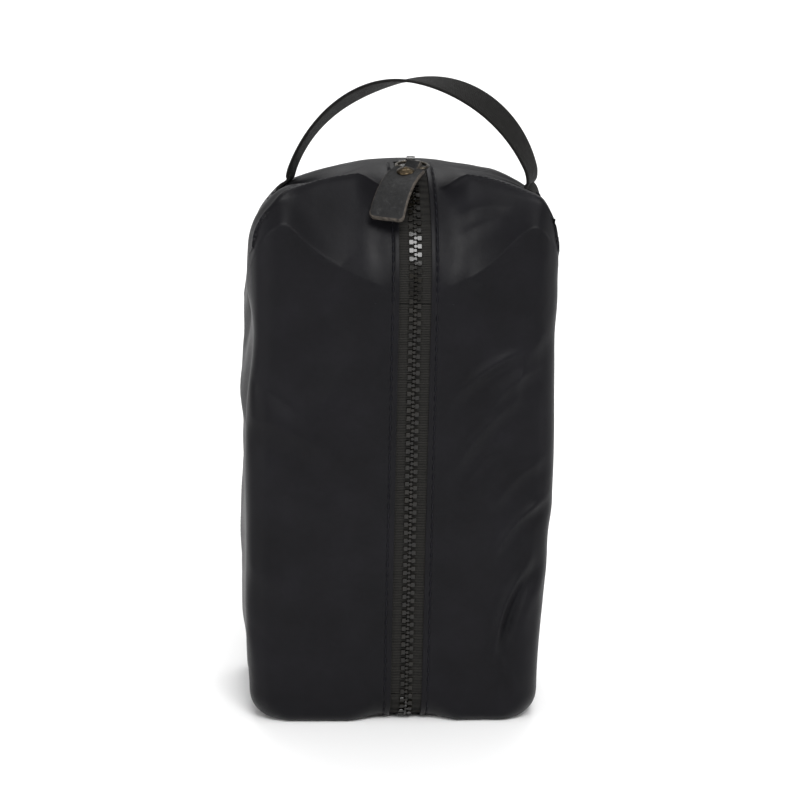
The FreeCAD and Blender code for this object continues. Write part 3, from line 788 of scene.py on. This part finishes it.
def body_cloth():
    """The outer cloth that stays put: sides, back, rear top and rear base."""
    parts = Parts()
    fixed_panels(parts)
    for side in SIDES.values():
        column = 0 if side < 0 else -1
        cap, outward = side_cap(side)
        edge = 1 - smooth(np.arange(cap.shape[0]), 0, 5)[:, None, None]
        outward = outward * (1 - edge) + base_normals[:, column][None] * edge
        settled = settle(cap, outward)
        settled[0] = skin[:, column]
        if side > 0:
            settled = settled[::-1]
        parts.grid(cap_rows(settled)[:, ::-1])
    nodes = ["outer_side_left", "outer_side_right", "outer_back_panel", "outer_top_rear"]
    piece = parts.make("bag_body_cloth", NYLON, "nylon", *nodes, "outer_bottom_rear")
    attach(piece, "root")


def zip_side_cloth(name, side):
    """The outer cloth beside the zip on one side: top, front in two halves, and base."""
    columns = half_columns(side, ZIP_GAP, DOOR_HINGE_X)
    for run, rows in (
        ("top_front", (ROW_DOOR_HIGH, ROW_TOP_SEAM + 1)),
        ("bottom_front", (0, ROW_DOOR_LOW + 1)),
    ):
        parts = Parts()
        panel(parts, rows, columns, side)
        piece = parts.make(f"cloth_{run}_{name}", NYLON, "nylon", f"outer_{run}_{name}")
        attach(piece, "root")
    for half, (rows, fixed_z) in DOOR_HALVES.items():
        parts = Parts()
        panel(parts, rows, columns, side)
        piece = parts.make(f"front_cloth_{name}_{half}", NYLON, "nylon", f"front_panel_{name}")
        follow_door(piece)


def lining_cloth():
    """The lining that stays put, and on each side the part on the front, made in two halves."""
    parts = Parts()
    fixed_panels(parts, LINING_DEPTH)
    for side in SIDES.values():
        columns = half_columns(side, ZIP_GAP + 1, DOOR_HINGE_X)
        panel(parts, (ROW_DOOR_HIGH, ROW_TOP_SEAM + 1), columns, depth=LINING_DEPTH)
        panel(parts, (0, ROW_DOOR_LOW + 1), columns, depth=LINING_DEPTH)
        cap, outward = side_cap(side)
        parts.grid(cap_rows(settle(cap, outward) - outward * LINING_DEPTH))
    nodes = ["lining_back", "lining_top", "lining_base", "lining_side_left", "lining_side_right"]
    piece = parts.make("lining_cloth", LINING, "lining", *nodes)
    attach(piece, "root")
    for name, side in SIDES.items():
        columns = half_columns(side, ZIP_GAP + 1, DOOR_HINGE_X)
        for half, (rows, fixed_z) in DOOR_HALVES.items():
            parts = Parts()
            panel(parts, rows, columns, depth=LINING_DEPTH)
            node = f"lining_front_{name}"
            piece = parts.make(f"{node}_{half}", LINING, "lining", node)
            follow_door(piece)


def binding(name, rows, columns):
    """A cushioned strip of bias binding over an inside seam."""
    points = take(rows, columns, BINDING_DEPTH)
    normals = skin_normals[np.ix_(loop_rows(rows), np.arange(*columns))]
    down, over = points.shape[:2]
    short = 0 if down < over else 1
    share = np.linspace(-1, 1, points.shape[short])
    crown = 0.7 * np.sqrt(np.clip(1 - share**2, 0, 1))
    crown = crown[:, None, None] if short == 0 else crown[None, :, None]
    parts = Parts()
    parts.grid(points - normals * crown, cloth_uvs(points))
    parts.grid(points[:, ::-1], cloth_uvs(points))
    piece = parts.make(name, TAPE, "binding", name)
    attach(piece, "root")


def all_bindings():
    """Bindings over the top and base cross seams and over the four side seams."""
    across = (column_at(-68), column_at(68) + 1)
    binding("seam_binding_top", (ROW_TOP_SEAM - 1, ROW_TOP_SEAM + 5), across)
    binding("seam_binding_bottom", (-2, 4), across)
    for name, side in SIDES.items():
        columns = half_columns(side, DOOR_HINGE_X - 4, DOOR_HINGE_X + 4)
        binding(f"corner_binding_top_{name}", (ROW_CREST - 22, ROW_CREST + 18), columns)
        binding(f"corner_binding_bottom_{name}", (-20, 24), columns)


# ---- the zip

def zip_place(run, distance):
    """Middle of the zip at a distance along a run, as (point, direction along, outward)."""
    if run == "front":
        z = DOOR_LOW + distance
        return Vector((0, FRONT_Y, z)), Vector((0, 0, 1)), Vector((0, -1, 0))
    if run == "top":
        angle = math.radians(distance)
        outward = Vector((0, -math.cos(angle), math.sin(angle)))
        centre = Vector((0, CREST_Y, HEIGHT - ZIP_BEND_RADIUS))
        along = Vector((0, math.sin(angle), math.cos(angle)))
        return centre + outward * ZIP_BEND_RADIUS, along, outward
    flat = -(FRONT_Y + BASE_RADIUS)
    if distance <= flat:
        return Vector((0, -distance, 0)), Vector((0, -1, 0)), Vector((0, 0, -1))
    angle = (distance - flat) / BASE_RADIUS
    outward = Vector((0, -math.sin(angle), -math.cos(angle)))
    centre = Vector((0, FRONT_Y + BASE_RADIUS, BASE_RADIUS))
    along = Vector((0, -math.cos(angle), math.sin(angle)))
    return centre + outward * BASE_RADIUS, along, outward


# Distances along a run are in millimetres, and in degrees round the bend for the top one.
BASE_RUN = -(FRONT_Y + BASE_RADIUS) + BASE_RADIUS * math.pi / 2
FRONT_RUN = DOOR_HIGH - DOOR_LOW
FRONT_MIDDLE = DOOR_MID_Z - DOOR_LOW
TOP_RUN_DEG = 82
BASE_TEETH_START = 4.0
# Each run's teeth: where they start, their pitch and how many there are.
TOOTH_RUNS = {
    "front": (0.0, FRONT_RUN / 48, 48),
    "bottom": (BASE_TEETH_START, (BASE_RUN - BASE_TEETH_START) / 14, 14),
    "top": (0.0, 3.743, 19),
}
# The pieces that a side of the zip is made in: run, start, end, and the height of the door edge where the
# piece is held, None for a piece off the doors.
ZIP_PIECES = {
    "top": ("top", 0.0, TOP_RUN_DEG, None),
    "bottom": ("bottom", 0.0, BASE_RUN, None),
    "front_lower": ("front", 0.0, FRONT_MIDDLE, DOOR_LOW),
    "front_upper": ("front", FRONT_MIDDLE, FRONT_RUN, DOOR_HIGH),
}
# The order in which a side's pieces of teeth are made.
TOOTH_PIECES = ("front_lower", "front_upper", "bottom", "top")
# Half of a tooth's outline: distance from the middle of the chain, and half length there.
TOOTH_OUTLINE = [(3.7, 1.25), (3.45, 1.5), (1.75, 1.5), (1.4, 1.2), (1.1, 0.55), (0.75, 0.55)]
TOOTH_OUTLINE += [(0.35, 1.0), (-0.45, 1.05), (-0.85, 0.6)]
# Layers of a tooth: how far it stands out of the surface, and how much its outline shrinks.
TOOTH_LAYERS = [(-2.1, 0.25), (-1.8, 0.0), (-0.1, 0.0), (0.2, 0.12), (0.35, 0.36)]


def tooth_shape(side):
    """A moulded tooth with a waist and a rounded head, as points (across, along, out) and faces."""
    outline = [(x, y) for x, y in TOOTH_OUTLINE] + [(x, -y) for x, y in reversed(TOOTH_OUTLINE)]
    count = len(outline)
    points = []
    for out, shrink in TOOTH_LAYERS:
        for x, y in outline:
            inner_x = x + shrink * (0.5 if x < 1.2 else -0.5)
            points.append((side * inner_x, y * (1 - 0.45 * shrink), out))
    faces = ring_faces(len(TOOTH_LAYERS), count)
    half = len(TOOTH_OUTLINE)
    for first in (0, (len(TOOTH_LAYERS) - 1) * count):
        for i in range(half - 1):
            j = count - 1 - i
            faces.append((first + i, first + i + 1, first + j - 1, first + j))
    return points, faces


def placed(points, place):
    """Points (across, along, out) set at a place on the zip."""
    origin, along, outward = place
    return [origin + Vector((p[0], 0, 0)) + along * p[1] + outward * p[2] for p in points]


def zip_pieces(fill, side, label, node, material, slot, halves=ZIP_PIECES, smooth_faces=True):
    """One side's pieces of the zip, each filled by fill(parts, run, start, end, side)."""
    name = "left" if side < 0 else "right"
    for half in halves:
        run, start, end, fixed_z = ZIP_PIECES[half]
        parts = Parts()
        fill(parts, run, start, end, side)
        replaced = f"{node}_{name}_{run}"
        piece = parts.make(f"{label}_{name}_{half}", material, slot, replaced, smooth_faces=smooth_faces)
        follow_run(piece, fixed_z)


def teeth(parts, run, start, end, side):
    """Adds the teeth whose places are between start and end of a run."""
    points, faces = tooth_shape(side)
    stagger = 0.25 if side < 0 else 0.75
    first, pitch, count = TOOTH_RUNS[run]
    for i in range(count):
        distance = first + (i + stagger) * pitch
        if start <= distance < end:
            parts.solid(placed(points, zip_place(run, distance)), faces)


RIB_STEP = 0.4


def tape(parts, run, start, end, side):
    """Adds a strip of ribbed tape along part of a run."""
    length = (end - start) * (ZIP_BEND_RADIUS * math.pi / 180 if run == "top" else 1.0)
    count = int(length / RIB_STEP) + 2
    across = np.array([0.5, 0.9, 1.5, 3.0, 4.2, 5.2, 6.6, 8.0, 9.4, 11.0])
    cord = 0.35 * np.exp(-(((across - 4.6) / 0.7) ** 2))
    points = np.zeros((count, len(across), 3))
    for r, distance in enumerate(np.linspace(start, end, count)):
        origin, _, outward = zip_place(run, distance)
        rib = 0.2 * (r % 3 == 1 and r < count - 1) - 0.06
        depth = -TAPE_DEPTH + cord + rib
        points[r] = np.array(origin)[None] + np.array(outward)[None] * depth[:, None]
        points[r, :, 0] = side * across
    if side < 0:
        points = points[:, ::-1]
    parts.grid(points)


STITCH_PITCH = 5.85
STITCH_LENGTH = 4.0
THREAD_RADIUS = 0.36


def stitch_shape():
    """A short length of thread that dips into the cloth at both ends: (across, along, out)."""
    steps, sides = 7, 6
    points = []
    for i in range(steps):
        share = i / (steps - 1)
        lift = 0.42 * math.sin(math.pi * share) - 0.3
        radius = THREAD_RADIUS * (0.55 + 0.45 * math.sin(math.pi * share))
        for k in range(sides):
            turn = 2 * math.pi * k / sides
            across = radius * math.cos(turn)
            points.append((across, (share - 0.5) * STITCH_LENGTH, lift + radius * math.sin(turn)))
    return points, ring_faces(steps, sides)


# Where each run's stitches start, their pitch and how many there are.
STITCH_RUNS = {
    "top": (1.8, math.degrees(STITCH_PITCH / ZIP_BEND_RADIUS), 17),
    "bottom": (4.0, STITCH_PITCH, 11),
    "front": (0.9 + STITCH_LENGTH / 2, STITCH_PITCH, int(FRONT_RUN / STITCH_PITCH)),
}


def topstitches(parts, run, start, end, side):
    """Adds the stitches beside the zip whose middles are between start and end of a run."""
    shape, faces = stitch_shape()
    first, pitch, count = STITCH_RUNS[run]
    for i in range(count):
        distance = first + i * pitch
        if start <= distance < end:
            points = placed(shape, zip_place(run, distance))
            parts.solid([p + Vector((side * STITCH_X, 0, 0)) for p in points], faces)


# ---- the handle

HANDLE_SPAN = 75.6
HANDLE_MIDDLE_X = 2.0
HANDLE_FOOT_Z = 294.0
HANDLE_RISE = 80.0
HANDLE_YAW_DEG = -49.0
HALF_WEBBING = 12.5


def handle_line():
    """Points along the webbing's middle from the left sewn end to the right one, with its yaw."""
    angles = np.radians(np.linspace(15.5, 164.5, 300))
    arch_x = HANDLE_MIDDLE_X - HANDLE_SPAN * np.cos(angles)
    arch = np.stack([arch_x, HANDLE_FOOT_Z + HANDLE_RISE * np.sin(angles)], 1)
    turned = np.radians(np.linspace(0, 62, 30))
    radius = SHOULDER_RADIUS + 1.4
    sewn = np.stack([-SHOULDER_X - radius * np.cos(turned), SHOULDER_Z + radius * np.sin(turned)], 1)
    right_sewn = sewn[::-1] * np.array([-1, 1])
    path = np.concatenate([sewn, arch, right_sewn])
    path = respace(path, 780)
    for _ in range(24):
        path[1:-1] = path[1:-1] * 0.5 + (path[:-2] + path[2:]) * 0.25
    rise = np.clip((path[:, 1] - HANDLE_FOOT_Z) / HANDLE_RISE, 0, 1)
    twist_right = 0.14 + 0.86 * rise
    twist_left = 0.27 + 0.73 * rise**4
    share = np.where(path[:, 0] > HANDLE_MIDDLE_X, twist_right, twist_left)
    yaw = np.radians(HANDLE_YAW_DEG) * share * smooth(path[:, 1], 298, 313)
    return path, yaw


def webbing_section():
    """The webbing's cross section: (across, up, share of the ribs), round at both edges."""
    half, thick = HALF_WEBBING, 0.75
    flat = np.linspace(-half + 0.5, half - 0.5, 13)
    top = [(a, thick, 1.0) for a in flat]
    bottom = [(a, -thick, 1.0) for a in flat[::-1]]
    right = [(half - 0.12, 0.45, 0.4), (half, 0.0, 0.2), (half - 0.12, -0.45, 0.4)]
    left = [(-a, -u, r) for a, u, r in right]
    return np.array(top + right + bottom + left)


def handle():
    """The webbing handle with its two sewn ends, bending where it leaves the bag."""
    path, yaw = handle_line()
    section = webbing_section()
    along = np.gradient(path, axis=0)
    along /= np.linalg.norm(along, axis=1, keepdims=True)
    rings = []
    for i, (x, z) in enumerate(path):
        direction = Vector((along[i, 0], 0, along[i, 1]))
        across = Vector((-math.sin(yaw[i]), math.cos(yaw[i]), 0))
        across = (across - direction * across.dot(direction)).normalized()
        face = direction.cross(across)
        rib = 0.16 * math.cos(2 * math.pi * i / 3)
        middle = Vector((x, 0, z))
        ring = []
        for a, u, share in section:
            height = u + math.copysign(rib * share, u) * (abs(u) > 0.6)
            ring.append(middle + across * a + face * height)
        rings.append(ring)
    points = np.array([[list(p) for p in ring] for ring in rings])
    sewn = 1 - smooth(points[..., 2], 306, 324)
    settled_x = leaning_x(points[..., 0], points[..., 1], points[..., 2])
    points[..., 0] += (settled_x - points[..., 0]) * sewn
    grid = np.concatenate([points, points[:, :1]], 1)
    parts = Parts()
    uvs = np.zeros(grid.shape[:2] + (2,))
    uvs[..., 0] = np.append(section[:, 0], section[0, 0])[None] * MM
    lengths = np.concatenate([[0], np.cumsum(np.linalg.norm(np.diff(path, axis=0), axis=1))])
    uvs[..., 1] = lengths[:, None] * MM
    parts.grid(grid, uvs)
    nodes = ["handle_webbing", "handle_end_left", "handle_end_right"]
    piece = parts.make("handle_strap", WEBBING, "webbing", *nodes)
    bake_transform(piece)


def handle_bartacks():
    """Dense rows of thread across each sewn end."""
    shape, faces = stitch_shape()
    for name, side in SIDES.items():
        parts = Parts()
        centre = Vector((side * SHOULDER_X, 0, SHOULDER_Z))
        for angle in np.radians(12 + 7 * np.arange(6)):
            outward = Vector((side * math.cos(angle), 0, math.sin(angle)))
            up = Vector((-side * math.sin(angle), 0, math.cos(angle)))
            slant = (up * 0.8 + Vector((0, 0.35, 0))).normalized()
            over = slant.cross(outward)
            for place in np.arange(-9.6, 9.7, 1.2):
                origin = centre + outward * (SHOULDER_RADIUS + 2.3) + Vector((0, place, 0))
                origin.x = float(leaning_x(*origin))
                points = [origin + over * a + slant * b * 0.6 + outward * c for a, b, c in shape]
                parts.solid(points, faces)
        piece = parts.make(f"bartack_{name}", THREAD, "thread", f"handle_bartack_{name}")
        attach(piece, "root")


# ---- the pull

SLIDER_DEG = 72.1
TUNNEL_HEIGHT = 4.3
RING_RADIUS = 9.2
RING_SLOPE_DEG = 6.0
TAB_HOOK_DEG = -6.0
TAB_YAW_DEG = -28.0
TAB_DROP_DEG = 33.0
TAB_LENGTH = 42.0
TAB_HALF_WIDTH = 10.9
TAB_HALF_THICKNESS = 1.5
TAB_BOW = 6.5
RIVET_AT = 8.0
RIVET_RADIUS = 5.2


def turn_x(degrees):
    return Matrix.Rotation(math.radians(degrees), 4, "X")


def ring_matrix():
    """The ring's own frame, with local -Y pointing forwards along the ring."""
    origin, _, outward = zip_place("top", SLIDER_DEG)
    tunnel = origin + outward * TUNNEL_HEIGHT
    slope = turn_x(RING_SLOPE_DEG)
    centre = tunnel + slope.to_3x3() @ Vector((0, -RING_RADIUS, 0))
    return Matrix.Translation(centre) @ slope


def tab_matrix():
    """The tab's own frame at the ring, with local -Y along the tab and +Z out of its face."""
    hook = Matrix.Rotation(math.radians(TAB_HOOK_DEG), 4, "Z")
    yaw = Matrix.Rotation(math.radians(TAB_YAW_DEG - TAB_HOOK_DEG), 4, "Z")
    reach = Matrix.Translation((0, -RING_RADIUS, 0)) @ yaw @ turn_x(TAB_DROP_DEG)
    return ring_matrix() @ hook @ reach


def tab_outline():
    """The tab's outline (across, along): a neck at the ring and rounded free corners."""
    half, neck, corner = TAB_HALF_WIDTH, 4.2, 2.6
    right = [(neck, -5.2), (neck, -2.5), (neck, 0.0), (neck + 0.2, 1.5), (neck + 1.2, 1.9)]
    right += [(half - 2.4, 1.9), (half - 1.5, 2.3), (half - 1.2, 3.2)]
    right += [(half - 1.2 + 1.2 * y / TAB_LENGTH, y) for y in np.linspace(6, TAB_LENGTH - corner - 2, 12)]
    for t in np.radians(np.linspace(0, 90, 7)):
        right.append((half - corner + corner * math.cos(t), TAB_LENGTH - corner + corner * math.sin(t)))
    left = [(-x, y) for x, y in reversed(right)]
    bottom = [(x, TAB_LENGTH) for x in np.linspace(half - corner - 1.5, corner + 1.5 - half, 6)]
    return right + bottom + left


def leather_slab(outline, layers):
    """Rings of the outline drawn towards its middle line, as points (across, along, up) and faces."""
    points = []
    for share, up in layers:
        for x, y in outline:
            middle_y = min(max(y, 6.0), TAB_LENGTH - 8.0)
            points.append((x * share, y * share + middle_y * (1 - share), up))
    return points, ring_faces(len(layers), len(outline))


def tab_lift(along, up):
    """The strap is thicker where it folds round the ring, and bows a little along its length."""
    swell = 1 + 0.6 * float(1 - smooth(along, 0.4, 3.0))
    share = min(max(along / TAB_LENGTH, 0), 1)
    return up * swell + 4 * TAB_BOW * share * (1 - share)


def leather_tab():
    """The leather tab with rounded, paler edges."""
    thick = TAB_HALF_THICKNESS
    face_layers = [(0.0, thick * 0.96), (0.35, thick * 0.96), (0.7, thick * 0.98), (0.9, thick * 0.97)]
    rim_layers = [(0.94, thick * 0.93), (0.975, thick * 0.72), (0.995, thick * 0.3), (1.0, 0.0)]
    rim_layers += [(0.995, -thick * 0.3), (0.975, -thick * 0.72), (0.94, -thick * 0.93)]
    back_layers = [(0.9, -thick * 0.97), (0.5, -thick), (0.0, -thick)]
    layers = face_layers + rim_layers + back_layers
    outline = tab_outline()
    points, faces = leather_slab(outline, layers)
    matrix = tab_matrix()
    jitter = [noise.noise(Vector(p) * 0.35) * 0.22 for p in points]
    shaped = [Vector((x, -y, tab_lift(y, up) + j)) for (x, y, up), j in zip(points, jitter)]
    placed_points = [list(matrix @ p) for p in shaped]
    piece = add_mesh("leather_tab", placed_points, faces, LEATHER)
    piece.data.materials.append(LEATHER_EDGE)
    edge_first = len(face_layers) * len(outline)
    edge_last = (len(face_layers) + len(rim_layers) - 2) * len(outline)
    for polygon in piece.data.polygons:
        if edge_first <= min(polygon.vertices) and max(polygon.vertices) < edge_last + len(outline):
            polygon.material_index = 1
    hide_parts("pull_tab")
    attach(piece, "tab")


def turned_brass(name, node, profile, matrix, sides=40):
    """A turned piece on the tab, from (radius, height) points about the matrix's own Z axis."""
    points = []
    for radius, height in profile:
        for k in range(sides):
            turn = 2 * math.pi * k / sides
            place = Vector((radius * math.cos(turn), radius * math.sin(turn), height))
            points.append(list(matrix @ place))
    piece = add_mesh(name, points, ring_faces(len(profile), sides), RIVET_BRASS)
    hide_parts(node)
    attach(piece, "tab")


def rivet():
    """The rivet's domed cap with a nub at its middle, and its disc behind the tab."""
    share = RIVET_AT / TAB_LENGTH
    lift = 4 * TAB_BOW * share * (1 - share)
    tilt = math.degrees(math.atan(4 * TAB_BOW / TAB_LENGTH * (1 - 2 * share)))
    seat = tab_matrix() @ Matrix.Translation((0, -RIVET_AT, lift)) @ turn_x(-tilt)
    top = seat @ Matrix.Translation((0, 0, TAB_HALF_THICKNESS + 0.1))
    radius = RIVET_RADIUS
    cap = [(radius, -0.4), (radius, 0.25), (radius - 0.35, 0.6), (radius - 0.9, 0.7), (radius - 1.3, 0.95)]
    cap += [(2.9, 1.5), (2.2, 1.75), (1.75, 1.8), (1.5, 2.05), (1.0, 2.35), (0.5, 2.45), (0.01, 2.48)]
    turned_brass("rivet_dome", "rivet_cap", cap, top)
    back = seat @ Matrix.Translation((0, 0, -TAB_HALF_THICKNESS))
    disc = [(0.01, -0.75), (3.2, -0.75), (3.8, -0.5), (4.0, 0.0), (1.5, 0.2), (1.5, 2.0), (0.01, 2.0)]
    turned_brass("rivet_disc", "rivet_post", disc, back)


def hardware():
    """CAD nodes kept as they are, with their finish and softened edges."""
    finishes = {
        "slider_body": (ENAMEL, "slider_metal", 0.25),
        "slider_bridge": (ENAMEL, "slider_metal", 0.35),
        "slider_lock_spring": (STEEL, "spring_steel", 0.08),
        "pull_ring": (RING_BRASS, "ring_brass", 0.0),
        "zip_top_stop_left": (TEETH, "tooth", 0.2),
        "zip_top_stop_right": (TEETH, "tooth", 0.2),
        "zip_bottom_stop": (TEETH, "tooth", 0.2),
    }
    for node, (material, slot, edge) in finishes.items():
        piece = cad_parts[node]
        piece.data.materials.clear()
        piece.data.materials.append(material)
        if edge:
            bevel = piece.modifiers.new("edges", "BEVEL")
            bevel.width = edge * MM
            bevel.segments = 2
            bevel.limit_method = "ANGLE"


# ---- camera, floor and lights

def camera():
    """A long lens slightly left of the zip and a little above, tipped a touch clockwise."""
    azimuth, elevation, distance = math.radians(-5), math.radians(12), 1.45
    level = math.cos(elevation)
    back = Vector((math.sin(azimuth) * level, -math.cos(azimuth) * level, math.sin(elevation)))
    data = bpy.data.cameras.new("camera")
    data.lens = 108.5
    data.sensor_width = 36
    data.shift_x = -0.005
    data.clip_end = 20
    eye = bpy.data.objects.new("camera", data)
    bpy.context.scene.collection.objects.link(eye)
    eye.rotation_mode = "QUATERNION"
    eye.location = Vector((0, 0, 0.183)) + back * distance
    roll = Quaternion((0, 0, 1), math.radians(1.3))
    eye.rotation_quaternion = (-back).to_track_quat("-Z", "Y") @ roll
    bpy.context.scene.camera = eye


def floor():
    """A pale floor that rises into a backdrop behind the bag."""
    turned = np.radians(np.linspace(0, 54, 18))
    rise = 1200.0
    profile = [(-3000.0, 0.0), (1500.0, 0.0)]
    profile += [(1500 + rise * math.sin(t), rise - rise * math.cos(t)) for t in turned[1:]]
    points = np.array([[(x, y, z - 0.2) for x in (-4000.0, 4000.0)] for y, z in profile])
    material, nodes = new_material("pale_floor", {"Base Color": (0.92, 0.92, 0.92, 1)})
    nodes.roughness(6, 2, 0.66, 0.74)
    parts = Parts()
    parts.grid(points)
    piece = parts.mesh("floor", material)


def area_light(name, place, target, size, power):
    """A square softbox."""
    data = bpy.data.lights.new(name, "AREA")
    data.shape = "SQUARE"
    data.size = size
    data.energy = power
    light = bpy.data.objects.new(name, data)
    bpy.context.scene.collection.objects.link(light)
    light.location = place
    light.rotation_mode = "QUATERNION"
    aim = Vector(target) - Vector(place)
    light.rotation_quaternion = aim.to_track_quat("-Z", "Y")


def lights():
    """Soft studio light: a large box high in front, one on each side and an even pale surround."""
    area_light("key_box", (0.12, -1.45, 1.5), (0, 0, 0.25), 0.75, 30)
    area_light("overhead", (0.1, 0.1, 1.9), (0, 0, 0.2), 1.0, 2)
    area_light("left_box", (-1.45, -1.15, 0.6), (0, 0, 0.16), 0.7, 9)
    area_light("right_box", (1.6, -0.4, 0.5), (0, 0, 0.16), 0.7, 7)
    area_light("backdrop_box", (0, 1.4, 2.4), (0, 2.2, 0), 1.6, 50)
    world = bpy.data.worlds.new("surround")
    world.use_nodes = True
    background = world.node_tree.nodes["Background"]
    background.inputs["Color"].default_value = (1, 1, 1, 1)
    background.inputs["Strength"].default_value = 0.5
    bpy.context.scene.world = world
    bpy.context.scene.view_settings.view_transform = "Standard"


body_cloth()
lining_cloth()
all_bindings()
for side_name, side_sign in SIDES.items():
    zip_side_cloth(side_name, side_sign)
    zip_pieces(tape, side_sign, "tape", "zip_tape", TAPE, "tape")
    zip_pieces(teeth, side_sign, "teeth", "zip_teeth", TEETH, "tooth", TOOTH_PIECES, False)
    zip_pieces(topstitches, side_sign, "stitches", "topstitch", THREAD, "thread")
handle()
handle_bartacks()
leather_tab()
rivet()
hardware()
camera()
floor()
lights()
